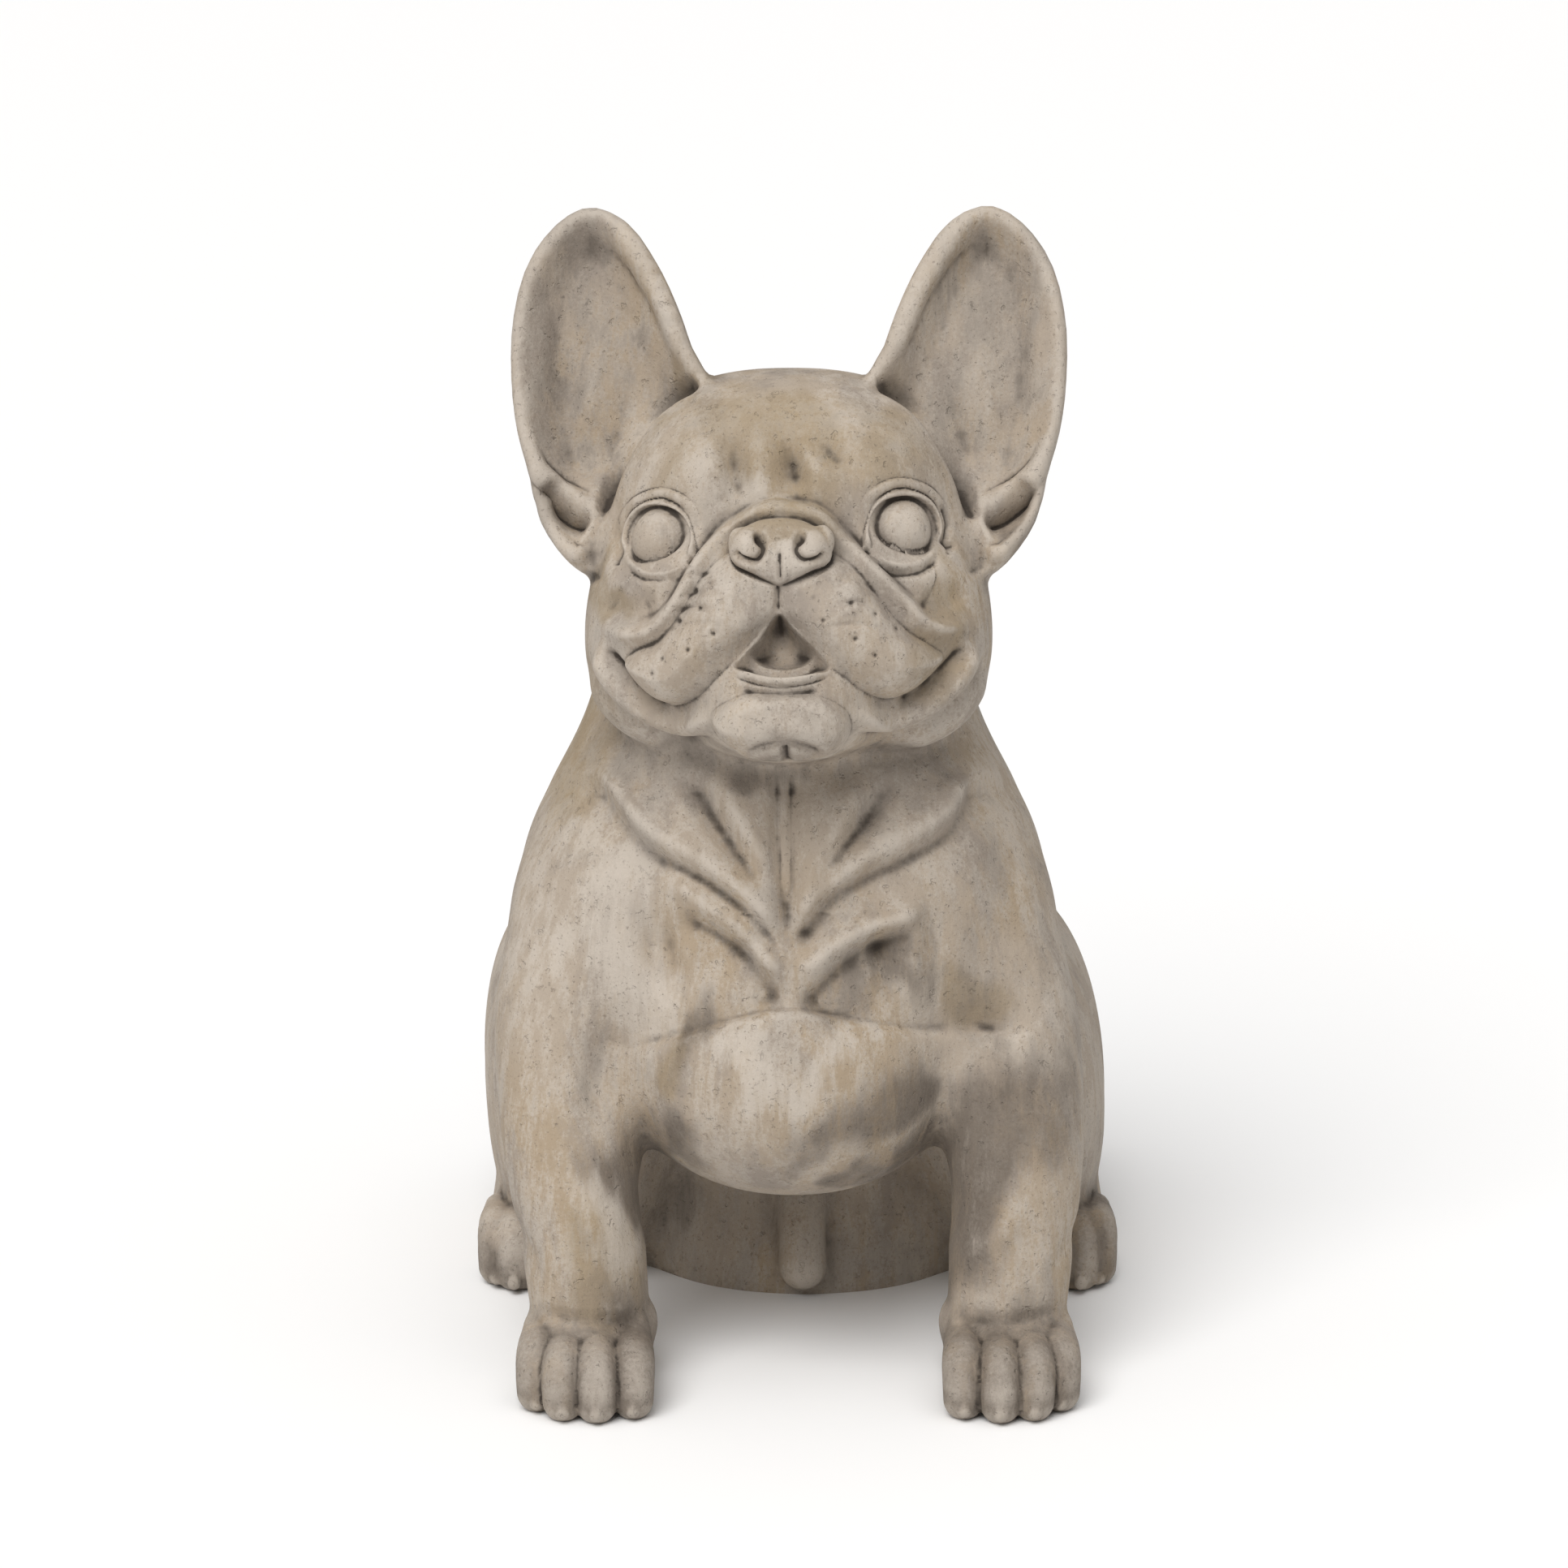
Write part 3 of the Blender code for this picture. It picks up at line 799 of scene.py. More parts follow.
    def distance(self, q: Array) -> Array:
        """Distance to the head before it is carved.

        Args:
            q: Points on the face.

        Returns:
            Distances, negative inside.
        """
        m = mirrored(q)
        f = blob(q, (0, 4, -20), (73, 62, 66), power=2.4)
        f = smooth_min(f, blob(m, (34, -38, -6), (45, 44, 50), power=2.3), 14)
        f = smooth_min(f, blob(m, (50, -20, 14), (17, 13, 20)), 12)
        f = smooth_min(f, blob(q, (0, -34, 14), (60, 40, 46), power=2.4), 16)
        f = smooth_min(f, blob(q, (0, -64, 22), (36, 24, 46), power=2.3), 9)
        f = smooth_min(f, blob(q, (-0.4, -20, 36), (32, 19, 29)), 9)
        f = smooth_min(f, blob(q, (0, 1, 28), (27, 15, 27)), 9)
        f = smooth_min(f, blob(m, (24, 20, 20), (26, 17, 24)), 14)
        f = smooth_min(f, self.ear.distance(m), 4.5)
        f = smooth_min(f, self.nose.distance(q), 1.4)
        for eye in self.eyes:
            f = eye.carve(f, q)
        return f

    def lift(self, q: Array) -> Array:
        """Carving of the face, the nose and the ears.

        Args:
            q: Points on the face.

        Returns:
            Lift at each point.
        """
        out = np.zeros(len(q), np.float32)
        front = q[:, 2] > -30
        q = q[front]
        cover = self.nose.cover(q)
        face = self.carving.lift(q[:, :2]) * (1 - cover)
        off = q[:, :2] - np.asarray(self.nose.middle, np.float32)
        near = ease(32, 17, np.sqrt((off ** 2).sum(1)))
        face = face * (1 - near * (0.42 + 0.18 * ease(2, -8, q[:, 1])))
        for eye in self.eyes:
            face = face * eye.clear(q[:, :2]) + eye.lift(q[:, :2])
        nose = self.nose.carving.lift(q[:, :2]) * cover * ease(50, 60, q[:, 2])
        out[front] = face * ease(-12, 8, q[:, 2]) + nose + self.ear.lift(mirrored(q))
        return out


# The body

@dataclass(frozen=True)
class Foot:
    """Row of round toes with short claws bent down over the front of a foot.

    Attributes:
        toes: Across and front of each toe.
        length: How far back a toe starts.
        top: Height where it starts.
        radius: Radius of a toe.
        claw: Length of a claw.
    """

    toes: Points
    length: float
    top: float
    radius: float
    claw: float

    def add(self, f: Array, m: Array) -> Array:
        """Add the toes to a foot.

        Args:
            f: Distances to the foot so far.
            m: Points brought to the left side.

        Returns:
            Distances with toes and claws.
        """
        for across, y in self.toes:
            line = ((across, y + self.length, self.top), (across, y + 0.3 * self.length, self.top - 2),
                    (across, y + 0.6, 0.62 * self.top), (across, y, 7))
            radii = (0.8 * self.radius, self.radius, self.radius, 0.96 * self.radius)
            f = smooth_min(f, limb(m, line, radii, 16), 1.2)
        for across, y in self.toes:
            line = ((across, y - 5.8, 8.4), (across, y - 6.0 - self.claw, 4.6))
            f = smooth_min(f, limb(m, line, (2.4, 2.8), 3), 0.7)
        return f


@dataclass(frozen=True)
class Body:
    """Neck, trunk, barrel chest, rump, thighs, feet and the folds of the chest.

    Attributes:
        sway: How far the trunk leans to the figure's right.
        look_up: Degrees that the plane of the chest carving leans back.
        fore: Toes of a forefoot.
        hind: Toes of a hind foot.
        hip_creases: Creases behind the thigh.
        carving: Folds of the chest and creases of the forelegs.
    """

    sway: float = -6.0
    look_up: float = 15.0
    fore: Foot = Foot(((64, -156), (78, -160.5), (91, -158), (101.4, -148)), 28, 22, 8.3, 0.4)
    hind: Foot = Foot(((99, -8), (107.5, -13), (116.5, -13), (124, -6)), 24, 24, 8.0, 2.0)
    hip_creases: tuple[Points, ...] = (
        ((112, 30, 118), (126, 40, 96), (131, 44, 60)),
        ((100, 60, 128), (118, 74, 100), (124, 80, 60)),
    )
    carving: Carving = Carving((
        Ledge(((-5, 134), (-14, 151), (-25, 161.4), (-38, 170), (-57, 181), (-71, 196), (-80, 214),
               (-90, 250)), 13.0, -8.6, 0.12, soft=1.8),
        Ledge(((86, 250), (70, 212), (60.6, 190), (43, 178), (23, 168.4), (8, 157.6),
               (-4, 138)), 13.0, -9.0, 0.08, soft=1.8),
        Groove(((-6, 143), (-17, 158), (-28, 168), (-41, 177), (-59, 188), (-71, 204),
                (-79, 228)), 6.6, 4.0, 0.14),
        Groove(((72, 228), (60, 198), (43, 185.6), (22, 175.6), (7, 163), (-3, 146)), 6.6, 4.0, 0.14),
        Groove(((-56, 172), (-40, 161.6), (-26, 152), (-14, 140), (-5, 124)), 5.4, 5.4, 0.22),
        Groove(((52, 158), (38, 153), (24, 148), (10, 140), (-2, 126)), 5.4, 5.4, 0.22),
        Ledge(((-4, 118), (-15, 134), (-29, 145), (-48, 155)), 10.0, -6.0, 0.16, soft=1.6),
        Ledge(((48, 148), (29, 141), (12.8, 131), (-1, 118)), 10.0, -6.0, 0.16, soft=1.6),
        Groove(((-52, 222), (-38, 199), (-22, 176), (-8, 150)), 5.0, -4.6, 0.42),
        Groove(((-32, 214), (-22, 188), (-11, 162)), 6.0, 3.0, 0.45),
        Groove(((44, 220), (29, 194), (12, 171), (-2, 146)), 5.0, -4.4, 0.42),
        Groove(((24, 212), (15, 188), (6, 166)), 6.0, 2.6, 0.45),
        Groove(((-5, 240), (-5, 206), (-5, 176), (-4, 138)), 5.4, -5.6, 0.15),
        Groove(((-5, 248), (-5.6, 214), (-5, 180), (-4.6, 150)), 2.0, 3.0, 0.4),
        Ledge(((-72, 99), (-56, 104), (-40, 110), (-22, 115.6), (-4, 118.4), (16, 116), (34, 111.4),
               (52, 108), (77, 108), (98, 110)), 12.0, -4.4, 0.12, soft=1.2),
        Groove(((-56, 105), (-40, 110), (-22, 115.6), (-4, 118.4), (16, 116), (34, 111.4),
                (52, 108)), 1.4, -0.8, 0.4),
        Groove(((-58, 170), (-55, 150), (-50, 134), (-47, 116)), 8.0, -7.0, 0.5),
        Groove(((-63, 160), (-60, 140), (-54, 120)), 4.2, -2.6, 0.5),
        Groove(((-48, 150), (-45, 138), (-44, 126)), 4.6, 2.6, 0.5),
        Groove(((30, 154), (33, 138), (42, 120)), 7.4, -4.4, 0.5),
        Groove(((52, 164), (54, 144), (60, 122)), 5.0, -3.2, 0.5),
        Groove(((22, 142), (28, 133), (27, 120)), 3.6, 1.8, 0.5),
        Groove(((42, 150), (44, 136), (49, 122)), 4.4, 2.6, 0.5),
        Groove(((-66, 124), (-74, 104), (-78, 84), (-76, 62)), 8.0, -4.0, 0.35),
        Groove(((64, 124), (74, 104), (78, 84), (76, 62)), 8.0, -4.6, 0.35),
        Groove(((-114.6, 38.6), (-107.4, 25.4), (-96.8, 4.5)), 3.2, -2.0, 0.5),
        Groove(((112, 38.6), (106, 25.4), (96.8, 4.5)), 3.2, -2.0, 0.5),
        Groove(((93.7, 54), (79, 31), (60, 13)), 5.4, 2.0, 0.5),
        Groove(((-90, 52), (-78, 31), (-62, 14)), 5.4, 1.6, 0.5),
        Ledge(((113, 12), (104, 3), (94, 4.6), (84, -0.6), (74, 2.2), (66, 0.4),
               (57, 7)), 8.0, 0.8, 0.4, True, soft=1.4),
        Groove(((56, 3), (68, -4), (78, -4.4), (92, -3), (108, 3)), 3.0, -1.2, 0.3, True),
        Groove(((58, 60), (62, 40), (60, 22)), 4.0, -1.5, 0.4, True),
    ))

    def distance(self, p: Array) -> Array:
        """Distance to the body before it is carved.

        Args:
            p: Points of the drawing.

        Returns:
            Distances, negative inside.
        """
        q = p.copy()
        q[:, 0] -= self.sway * ease(30, 190, p[:, 2])
        m = mirrored(q)
        spine = ((0, -35, 300), (0, -29, 260), (0, -11, 205), (0, 22, 145), (0, 64, 96), (0, 86, 78))
        f = limb(q, spine, (67, 75, 86, 92, 87, 80), 14)
        f = smooth_min(f, blob(q, (0, -46, 170), (106, 80, 98), power=2.2), 16)
        f = smooth_min(f, blob(q, (-1, -76, 124), (68, 66, 56), power=2.15), 15)
        f = smooth_min(f, blob(q, (0, 88, 34), (92, 84, 88), power=2.4), 26)
        f = smooth_min(f, blob(m, (86, 56, 70), (44, 80, 80), tip=14, power=2.3), 16)
        f = smooth_min(f, limb(m, ((108, 96, 14), (110, 50, 15), (112, 8, 13)), (19, 18, 17.5)), 9)
        f = self.hind.add(f, m)
        f = smooth_min(f, blob(q, (3, 26, 0), (62, 46, 56)), 16)
        f = smooth_min(f, limb(q, ((2, 4, 62), (2, -18, 32), (2, -25, 14)), (7, 8.5, 9.6)), 8)
        f = smooth_min(f, blob(q, (0, 168, 34), (13, 13, 16)), 8)
        leg = ((72, -66, 172), (82, -80, 138), (87, -98, 96), (84, -110, 54), (81.5, -115, 26))
        f = smooth_min(f, limb(m, leg, (34, 33, 27.5, 24.5, 23), 14), 12)
        paw = self.fore.add(blob(m, (83, -121, 13), (26, 31, 20), power=2.3), m)
        paw = smooth_min(paw, blob(m, (60, -112, 22), (4.5, 6.5, 8)), 3)
        f = smooth_min(f, paw, 5)
        for line in self.hip_creases:
            f = f + 2.4 * np.exp(-((along(m, curve_through(line, 8))[0] / 5) ** 2))
        return f

    def lift(self, p: Array) -> Array:
        """Carving of the chest and the forelegs.

        Args:
            p: Points of the drawing.

        Returns:
            Lift at each point.
        """
        c, s = math.cos(math.radians(self.look_up)), math.sin(math.radians(self.look_up))
        plane = np.stack([p[:, 0], p[:, 1] * s + p[:, 2] * c], 1)
        return self.carving.lift(plane) * ease(-20, -60, p[:, 1])


@dataclass(frozen=True)
class Figure:
    """The whole dog: head set into the neck.

    Attributes:
        head: Head.
        body: Body.
        neck: Heights between which both are there.
        throat: Width of the fillet between them.
        jaw: Heights on the face between which the body's carving gives way to the head's.
        breast: How far forward the body goes.
    """

    head: Head = Head()
    body: Body = Body()
    neck: tuple[float, float] = (215, 385)
    throat: float = 7.0
    jaw: tuple[float, float] = (-100, -90)
    breast: float = -150

    def bare(self, p: Array) -> Array:
        """Distance to the figure before it is carved.

        Args:
            p: Points of the drawing.

        Returns:
            Distances, negative inside.
        """
        f = np.full(len(p), 1e3, np.float32)
        h = np.full(len(p), 1e3, np.float32)
        low = p[:, 2] < self.neck[1]
        high = p[:, 2] > self.neck[0]
        f[low] = self.body.distance(p[low])
        h[high] = self.head.distance(self.head.on_face(p[high]))
        return smooth_min(f, h, self.throat)

    def lift(self, p: Array) -> Array:
        """Carving: the head's marks above the neck's crease and the body's below it.

        Args:
            p: Points of the drawing.

        Returns:
            Lift at each point.
        """
        high = p[:, 2] > self.neck[0]
        low = ~high | (p[:, 1] > self.breast)
        out = np.zeros(len(p), np.float32)
        q = self.head.on_face(p[high])
        share = ease(*self.jaw, q[:, 1])
        out[high] = self.head.lift(q) * share
        rest = np.ones(len(p), np.float32)
        rest[high] = 1 - share
        out[low] += self.body.lift(p[low]) * rest[low]
        return out


# The mesh

@dataclass(frozen=True)
class SurfaceNet:
    """Net of quads over a field's surface, found on a grid that is refined only near it.

    Attributes:
        field_of: Distance field.
        low: Lowest corner of the grid.
        high: Highest corner of the grid.
        cell: Finest cell.
        levels: How many times a coarser grid halves its cell.
        margin: Cells from the surface within which a cell is refined.
        far: Distance given to places that aren't worked out.
        batch: Points worked out at a time.
    """

    field_of: FieldOf
    low: Sequence[float]
    high: Sequence[float]
    cell: float
    levels: int = 2
    margin: ClassVar[float] = 1.25
    far: ClassVar[float] = 90
    batch: ClassVar[int] = 60000

    def axes(self, cell: float) -> list[Array]:
        """Grid lines along each axis.

        Args:
            cell: Space between the lines.

        Returns:
            Three arrays of places; the finer grid's lines hold the coarser grid's.
        """
        widest = self.cell * 2 ** self.levels
        count = [math.ceil((h - l) / widest) for l, h in zip(self.low, self.high)]
        return [
            (l + cell * np.arange(n * round(widest / cell) + 1)).astype(np.float32)
            for l, n in zip(self.low, count)
        ]

    def values(self, places: Array) -> Array:
        """The field in parts that fit in memory.

        Args:
            places: Points.

        Returns:
            Distances.
        """
        parts = np.array_split(places, max(1, len(places) // self.batch))
        return np.concatenate([self.field_of(part) for part in parts])

    def grid(self) -> tuple[list[Array], Array]:
        """Distances on the finest grid, exact near the surface and only of the right sign elsewhere.

        Returns:
            Grid lines and the distances at their crossings.
        """
        cell = self.cell * 2 ** self.levels
        axes = self.axes(cell)
        corners = np.stack(np.meshgrid(*axes, indexing="ij"), -1).reshape(-1, 3)
        grid = self.values(corners).reshape([len(a) for a in axes])
        for _ in range(self.levels):
            least = np.abs(grid)
            for axis in range(3):
                a, b = self.halves(axis)
                least = np.minimum(least[a], least[b])
            near = least < cell * self.margin
            cell /= 2
            axes = self.axes(cell)
            for axis in range(3):
                near = np.repeat(near, 2, axis)
                grid = np.repeat(grid, 2, axis)[self.halves(axis)[0]]
            wide = np.zeros(grid.shape, bool)
            for i in (0, 1):
                for j in (0, 1):
                    for k in (0, 1):
                        wide[i:i + near.shape[0], j:j + near.shape[1], k:k + near.shape[2]] |= near
            at = np.argwhere(wide)
            grid = np.where(grid > 0, self.far, -self.far).astype(np.float32)
            grid[wide] = self.values(np.stack([axes[i][at[:, i]] for i in range(3)], 1))
        for axis in range(3):
            for end in (0, -1):
                layer = np.moveaxis(grid, axis, 0)[end]
                np.abs(layer, out=layer)
        return axes, self.close_pinches(grid)

    @staticmethod
    def halves(axis: int) -> tuple[tuple[slice, ...], tuple[slice, ...]]:
        """Slices that leave out the last layer, and the first, along an axis.

        Args:
            axis: Axis to cut.

        Returns:
            Both slices.
        """
        first, last = [slice(None)] * 3, [slice(None)] * 3
        first[axis], last[axis] = slice(0, -1), slice(1, None)
        return tuple(first), tuple(last)

    @staticmethod
    def close_pinches(grid: Array) -> Array:
        """Fill the places where the solid would touch itself along a grid edge only.

        Args:
            grid: Distances on the grid.

        Returns:
            The same grid, filled there.
        """
        for _ in range(12):
            changed = 0
            for axis in range(3):
                u, v = ((1, 2), (2, 0), (0, 1))[axis]
                corners = []
                for first in (0, 1):
                    for second in (0, 1):
                        cut = [slice(None)] * 3
                        cut[u] = slice(first, grid.shape[u] - 1 + first)
                        cut[v] = slice(second, grid.shape[v] - 1 + second)
                        corners.append(grid[tuple(cut)])
                ins = [c < 0 for c in corners]
                one = ins[0] & ins[3] & ~ins[1] & ~ins[2]
                two = ins[1] & ins[2] & ~ins[0] & ~ins[3]
                changed += int(one.sum() + two.sum())
                corners[1][one] = -0.2
                corners[0][two] = -0.2
            if not changed:
                break
        return grid

    def skin(self) -> tuple[Array, Array]:
        """One point in each cell that the surface crosses, one quad on each grid edge that it crosses.

        A point is the mean of the crossings on its cell's edges, each found in proportion to the
        distances at the edge's ends.

        Returns:
            Points and quads.
        """
        axes, grid = self.grid()
        shape = np.array(grid.shape) - 1
        total = np.zeros((int(np.prod(shape)), 3))
        count = np.zeros(len(total))
        crossings = []
        for axis in range(3):
            first, last = self.halves(axis)
            a, b = grid[first], grid[last]
            at = np.argwhere((a < 0) != (b < 0))
            va = a[tuple(at.T)]
            place = np.stack([axes[i][at[:, i]] for i in range(3)], 1)
            place[:, axis] += va / (va - b[tuple(at.T)]) * self.cell
            u, v = ((1, 2), (2, 0), (0, 1))[axis]
            ring = []
            for du, dv in ((-1, -1), (0, -1), (0, 0), (-1, 0)):
                cell = at.copy()
                cell[:, u] += du
                cell[:, v] += dv
                flat = np.ravel_multi_index(tuple(cell.T), shape)
                count += np.bincount(flat, minlength=len(count))
                for i in range(3):
                    total[:, i] += np.bincount(flat, place[:, i], len(count))
                ring.append(flat)
            quad = np.stack(ring, 1)
            quad[va >= 0] = quad[va >= 0][:, ::-1]
            crossings.append(quad)
        used = count > 0
        number = np.cumsum(used) - 1
        return total[used] / count[used][:, None], number[np.vstack(crossings)]

    def slope(self, points: Array, reach: float) -> tuple[Array, Array]:
        """The field and its slope, from four places around each point.

        Args:
            points: Points.
            reach: How far the places are on each axis.

        Returns:
            Mean value and slope.
        """
        corners = np.array([[1, 1, 1], [1, -1, -1], [-1, 1, -1], [-1, -1, 1]], np.float32) * reach
        values = [self.values(points + d) for d in corners]
        slope = sum(v[:, None] * d for v, d in zip(values, corners)) / (4 * reach * reach)
        return sum(values) / 4, slope

    def normals(self, points: Array, reach: float) -> Array:
        """Directions straight out of the surface.

        Args:
            points: Points on the surface.
            reach: How widely the direction is averaged.

        Returns:
            Unit vectors.
        """
        slope = self.slope(points, reach)[1]
        return slope / np.maximum(np.sqrt((slope ** 2).sum(1)), 1e-6)[:, None]

    def settle(self, points: Array, rounds: int, most: float) -> Array:
        """Slide points onto the surface, down the slope by the value over the slope's length.

        Args:
            points: Points near the surface.
            rounds: How often.
            most: Longest step.

        Returns:
            Points on the surface.
        """
        points = points.astype(np.float32)
        for _ in range(rounds):
            value, slope = self.slope(points, 0.4)
            steep = np.maximum((slope ** 2).sum(1), 0.2)
            step = -(value / steep)[:, None] * slope
            long = np.sqrt((step ** 2).sum(1))
            points = points + step * np.minimum(1, most / np.maximum(long, 1e-9))[:, None]
        return points


@dataclass
class Bulldog:
    """The cast figure: its mesh, cut flat at the soles, with hollows and ridges measured.

    Attributes:
        figure: The form.
        finish: The material.
        cell: Cell of the net, in drawing units.
        most_triangles: Triangles kept.
        room: The net's grid.
        features: Eyes, nose and mouth, where the mesh is finest, in the face's directions.
        face: The rest of the face.
        chest: Folds of the chest.
        paws: Toes of the forefeet.
        spread: How widely a direction is averaged before the carving is laid on.
        reach: How far the blur goes, for each measure of the carving; the widest one feeds the painted shade.
        steps: How far out the form is felt, for each measure of the form; both feed the painted shade.
    """

    figure: Figure
    finish: "AgedStone"
    cell: float = CELL
    most_triangles: int = 194000
    room: ClassVar[Box] = ((-142, -178, -12), (142, 196, 470))
    features: ClassVar[Box] = ((-74, -76, 6), (74, 22, 90))
    face: ClassVar[Box] = ((-106, -92, -14), (106, 50, 90))
    chest: ClassVar[Box] = ((-96, -math.inf, 100), (96, -60, 262))
    paws: ClassVar[Box] = ((-math.inf, -math.inf, -math.inf), (math.inf, -96, 56))
    spread: ClassVar[float] = 1.6
    reach: ClassVar[dict[str, float]] = {"crevice": 1.1, "fold": 3.6, "vale": 7.5}
    steps: ClassVar[dict[str, float]] = {"hollow": 16.0, "shelter": 45.0}

    @property
    def net(self) -> SurfaceNet:
        """Net over the figure."""
        return SurfaceNet(self.figure.bare, *self.room, self.cell)

    def fine(self, points: Array, finest: bool) -> Array:
        """Which points lie where the carving is fine.

        Args:
            points: Points of the drawing.
            finest: Whether only the face is wanted.

        Returns:
            True for those.
        """
        q = self.figure.head.on_face(points)
        if finest:
            return within(q, self.features)
        return within(q, self.face) | within(points, self.chest) | within(points, self.paws)

    def build(self) -> bpy.types.Object:
        """Make the mesh, its measures and its object.

        Returns:
            The finished object.
        """
        net = self.net
        points, quads = net.skin()
        points = net.settle(points, 1, self.cell)
        mesh = bpy.data.meshes.new("net")
        mesh.from_pydata(points.tolist(), [], quads.tolist())
        for finest in ((False, True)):
            self.halve(mesh, self.fine(self.places(mesh), finest))
            points = net.settle(self.places(mesh), 1, self.cell * 0.5)
            mesh.vertices.foreach_set("co", points.ravel())
        points = self.places(mesh)
        points = points + self.figure.lift(points)[:, None] * net.normals(points, self.spread)
        mesh.vertices.foreach_set("co", ((points - (0, CENTRE_BACK, 0)) * DRAWING_UNIT).ravel())
        mesh.update()
        mesh = self.thinned(mesh)
        self.cut_soles(mesh)
        self.measure(mesh)
        mesh.name = NODE
        mesh.shade_smooth()
        mesh.materials.append(self.finish.material())
        piece = bpy.data.objects.new(NODE + "_casting", mesh)
        bpy.context.scene.collection.objects.link(piece)
        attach(piece, "root")
        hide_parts(NODE)
        LOG.info("%s: %d points, %d faces", piece.name, len(mesh.vertices), len(mesh.polygons))
        return piece

    @staticmethod
    def halve(mesh: bpy.types.Mesh, chosen: Array) -> None:
        """Halve the edges between the chosen points.

        Args:
            mesh: Mesh to refine.
            chosen: True for each chosen point.
        """
        work = bmesh.new()
        work.from_mesh(mesh)
        edges = [e for e in work.edges if chosen[e.verts[0].index] and chosen[e.verts[1].index]]
        bmesh.ops.subdivide_edges(work, edges=edges, cuts=1, use_grid_fill=True)
        work.to_mesh(mesh)
        work.free()

    @staticmethod
    def places(mesh: bpy.types.Mesh) -> Array:
        """A mesh's points.

        Args:
            mesh: The mesh.

        Returns:
            Their places.
        """
        places = np.empty(3 * len(mesh.vertices), np.float32)
        mesh.vertices.foreach_get("co", places)
        return places.reshape(-1, 3)

    def thinned(self, mesh: bpy.types.Mesh) -> bpy.types.Mesh:
        """Join the facets that are nearly flat until few enough are left.

        Args:
            mesh: Dense mesh.

        Returns:
            Thinner mesh.
        """
        triangles = sum(len(face.vertices) - 2 for face in mesh.polygons)
        net = bpy.data.objects.new("net", mesh)
        bpy.context.scene.collection.objects.link(net)
        if triangles > self.most_triangles:
            thin = net.modifiers.new("facets", "DECIMATE")
            thin.ratio = self.most_triangles / triangles
        graph = bpy.context.evaluated_depsgraph_get()
        made = bpy.data.meshes.new_from_object(net.evaluated_get(graph))
        bpy.data.objects.remove(net, do_unlink=True)
        return made

    @staticmethod
    def cut_soles(mesh: bpy.types.Mesh) -> None:
        """Cut the underside flat at the floor and close it.

        Args:
            mesh: Mesh to cut.
        """
        work = bmesh.new()
        work.from_mesh(mesh)
        every = work.verts[:] + work.edges[:] + work.faces[:]
        bmesh.ops.bisect_plane(work, geom=every, plane_co=(0, 0, 0), plane_no=(0, 0, -1), clear_outer=True)
        rim = [edge for edge in work.edges if edge.is_boundary]
        for edge in rim:
            for vert in edge.verts:
                vert.co.z = 0.0
        soles = bmesh.ops.holes_fill(work, edges=rim, sides=0)["faces"]
        bmesh.ops.triangulate(work, faces=soles)
        bmesh.ops.recalc_face_normals(work, faces=work.faces[:])
        work.to_mesh(mesh)
        work.free()

    def measure(self, mesh: bpy.types.Mesh) -> None:
        """Store how hollow each point lies, for grime in the creases, for painted shade in broad hollows and
        where the form shuts out the sky, and for the rub.

        The points are blurred over the surface, each towards its neighbours. How far the blurred
        point lies out along the normal, over the blur, is the hollow at three scales, and below
        nought it is a ridge. For the widest scales a step is taken out from the form before the
        carving: one less the distance there over the step.

        Args:
            mesh: Finished mesh.
        """
        normals = np.empty(3 * len(mesh.vertices), np.float32)
        mesh.vertices.foreach_get("normal", normals)
        normals = normals.reshape(-1, 3)
        places = self.places(mesh) / DRAWING_UNIT
        ends = np.empty(2 * len(mesh.edges), np.int32)
        mesh.edges.foreach_get("vertices", ends)
        a, b = np.concatenate([ends.reshape(-1, 2), ends.reshape(-1, 2)[:, ::-1]]).T
        count = np.maximum(np.bincount(a, minlength=len(places)), 1)
        square = np.bincount(a, ((places[b] - places[a]) ** 2).sum(1), len(places)) / count
        stride = 0.25  # square of how far one round blurs
        share = np.minimum(stride / np.maximum(square, 1e-6), 0.6)[:, None]
        blurred, done = places.astype(float), 0.0
        for name, reach in self.reach.items():
            while done < reach * reach:
                middle = np.stack([np.bincount(a, blurred[b, i], len(places)) for i in range(3)], 1)
                blurred += share * (middle / count[:, None] - blurred)
                done += stride
            self.store(mesh, name, ((blurred - places) * normals).sum(1) / reach)
        bare = self.net
        points = (places + (0, CENTRE_BACK, 0)).astype(np.float32)
        ground = bare.values(points)
        # Steps out from the form: the less room there, the darker the painted shade in the colour.
        for name, step in self.steps.items():
            rise = bare.values(points + step * normals) - ground
            self.store(mesh, name, np.clip(1 - rise / step, -1, 1.5))

    @staticmethod
    def store(mesh: bpy.types.Mesh, name: str, values: Array) -> None:
        """Keep a value at each point.

        Args:
            mesh: Mesh.
            name: Attribute's name.
            values: Value at each point.
        """
        kept = mesh.attributes.new(name, "FLOAT", "POINT")
        kept.data.foreach_set("value", values.astype(np.float32))


# The finish

def light_of(red: float, green: float, blue: float) -> tuple[float, float, float, float]:
    """Linear colour of a screen colour.

    Args:
        red: From 0 to 255.
        green: From 0 to 255.
        blue: From 0 to 255.

    Returns:
        Linear colour with full alpha.
    """
    shares = (channel / 255 for channel in (red, green, blue))
    return (*(s / 12.92 if s <= 0.04045 else ((s + 0.055) / 1.055) ** 2.4 for s in shares), 1.0)


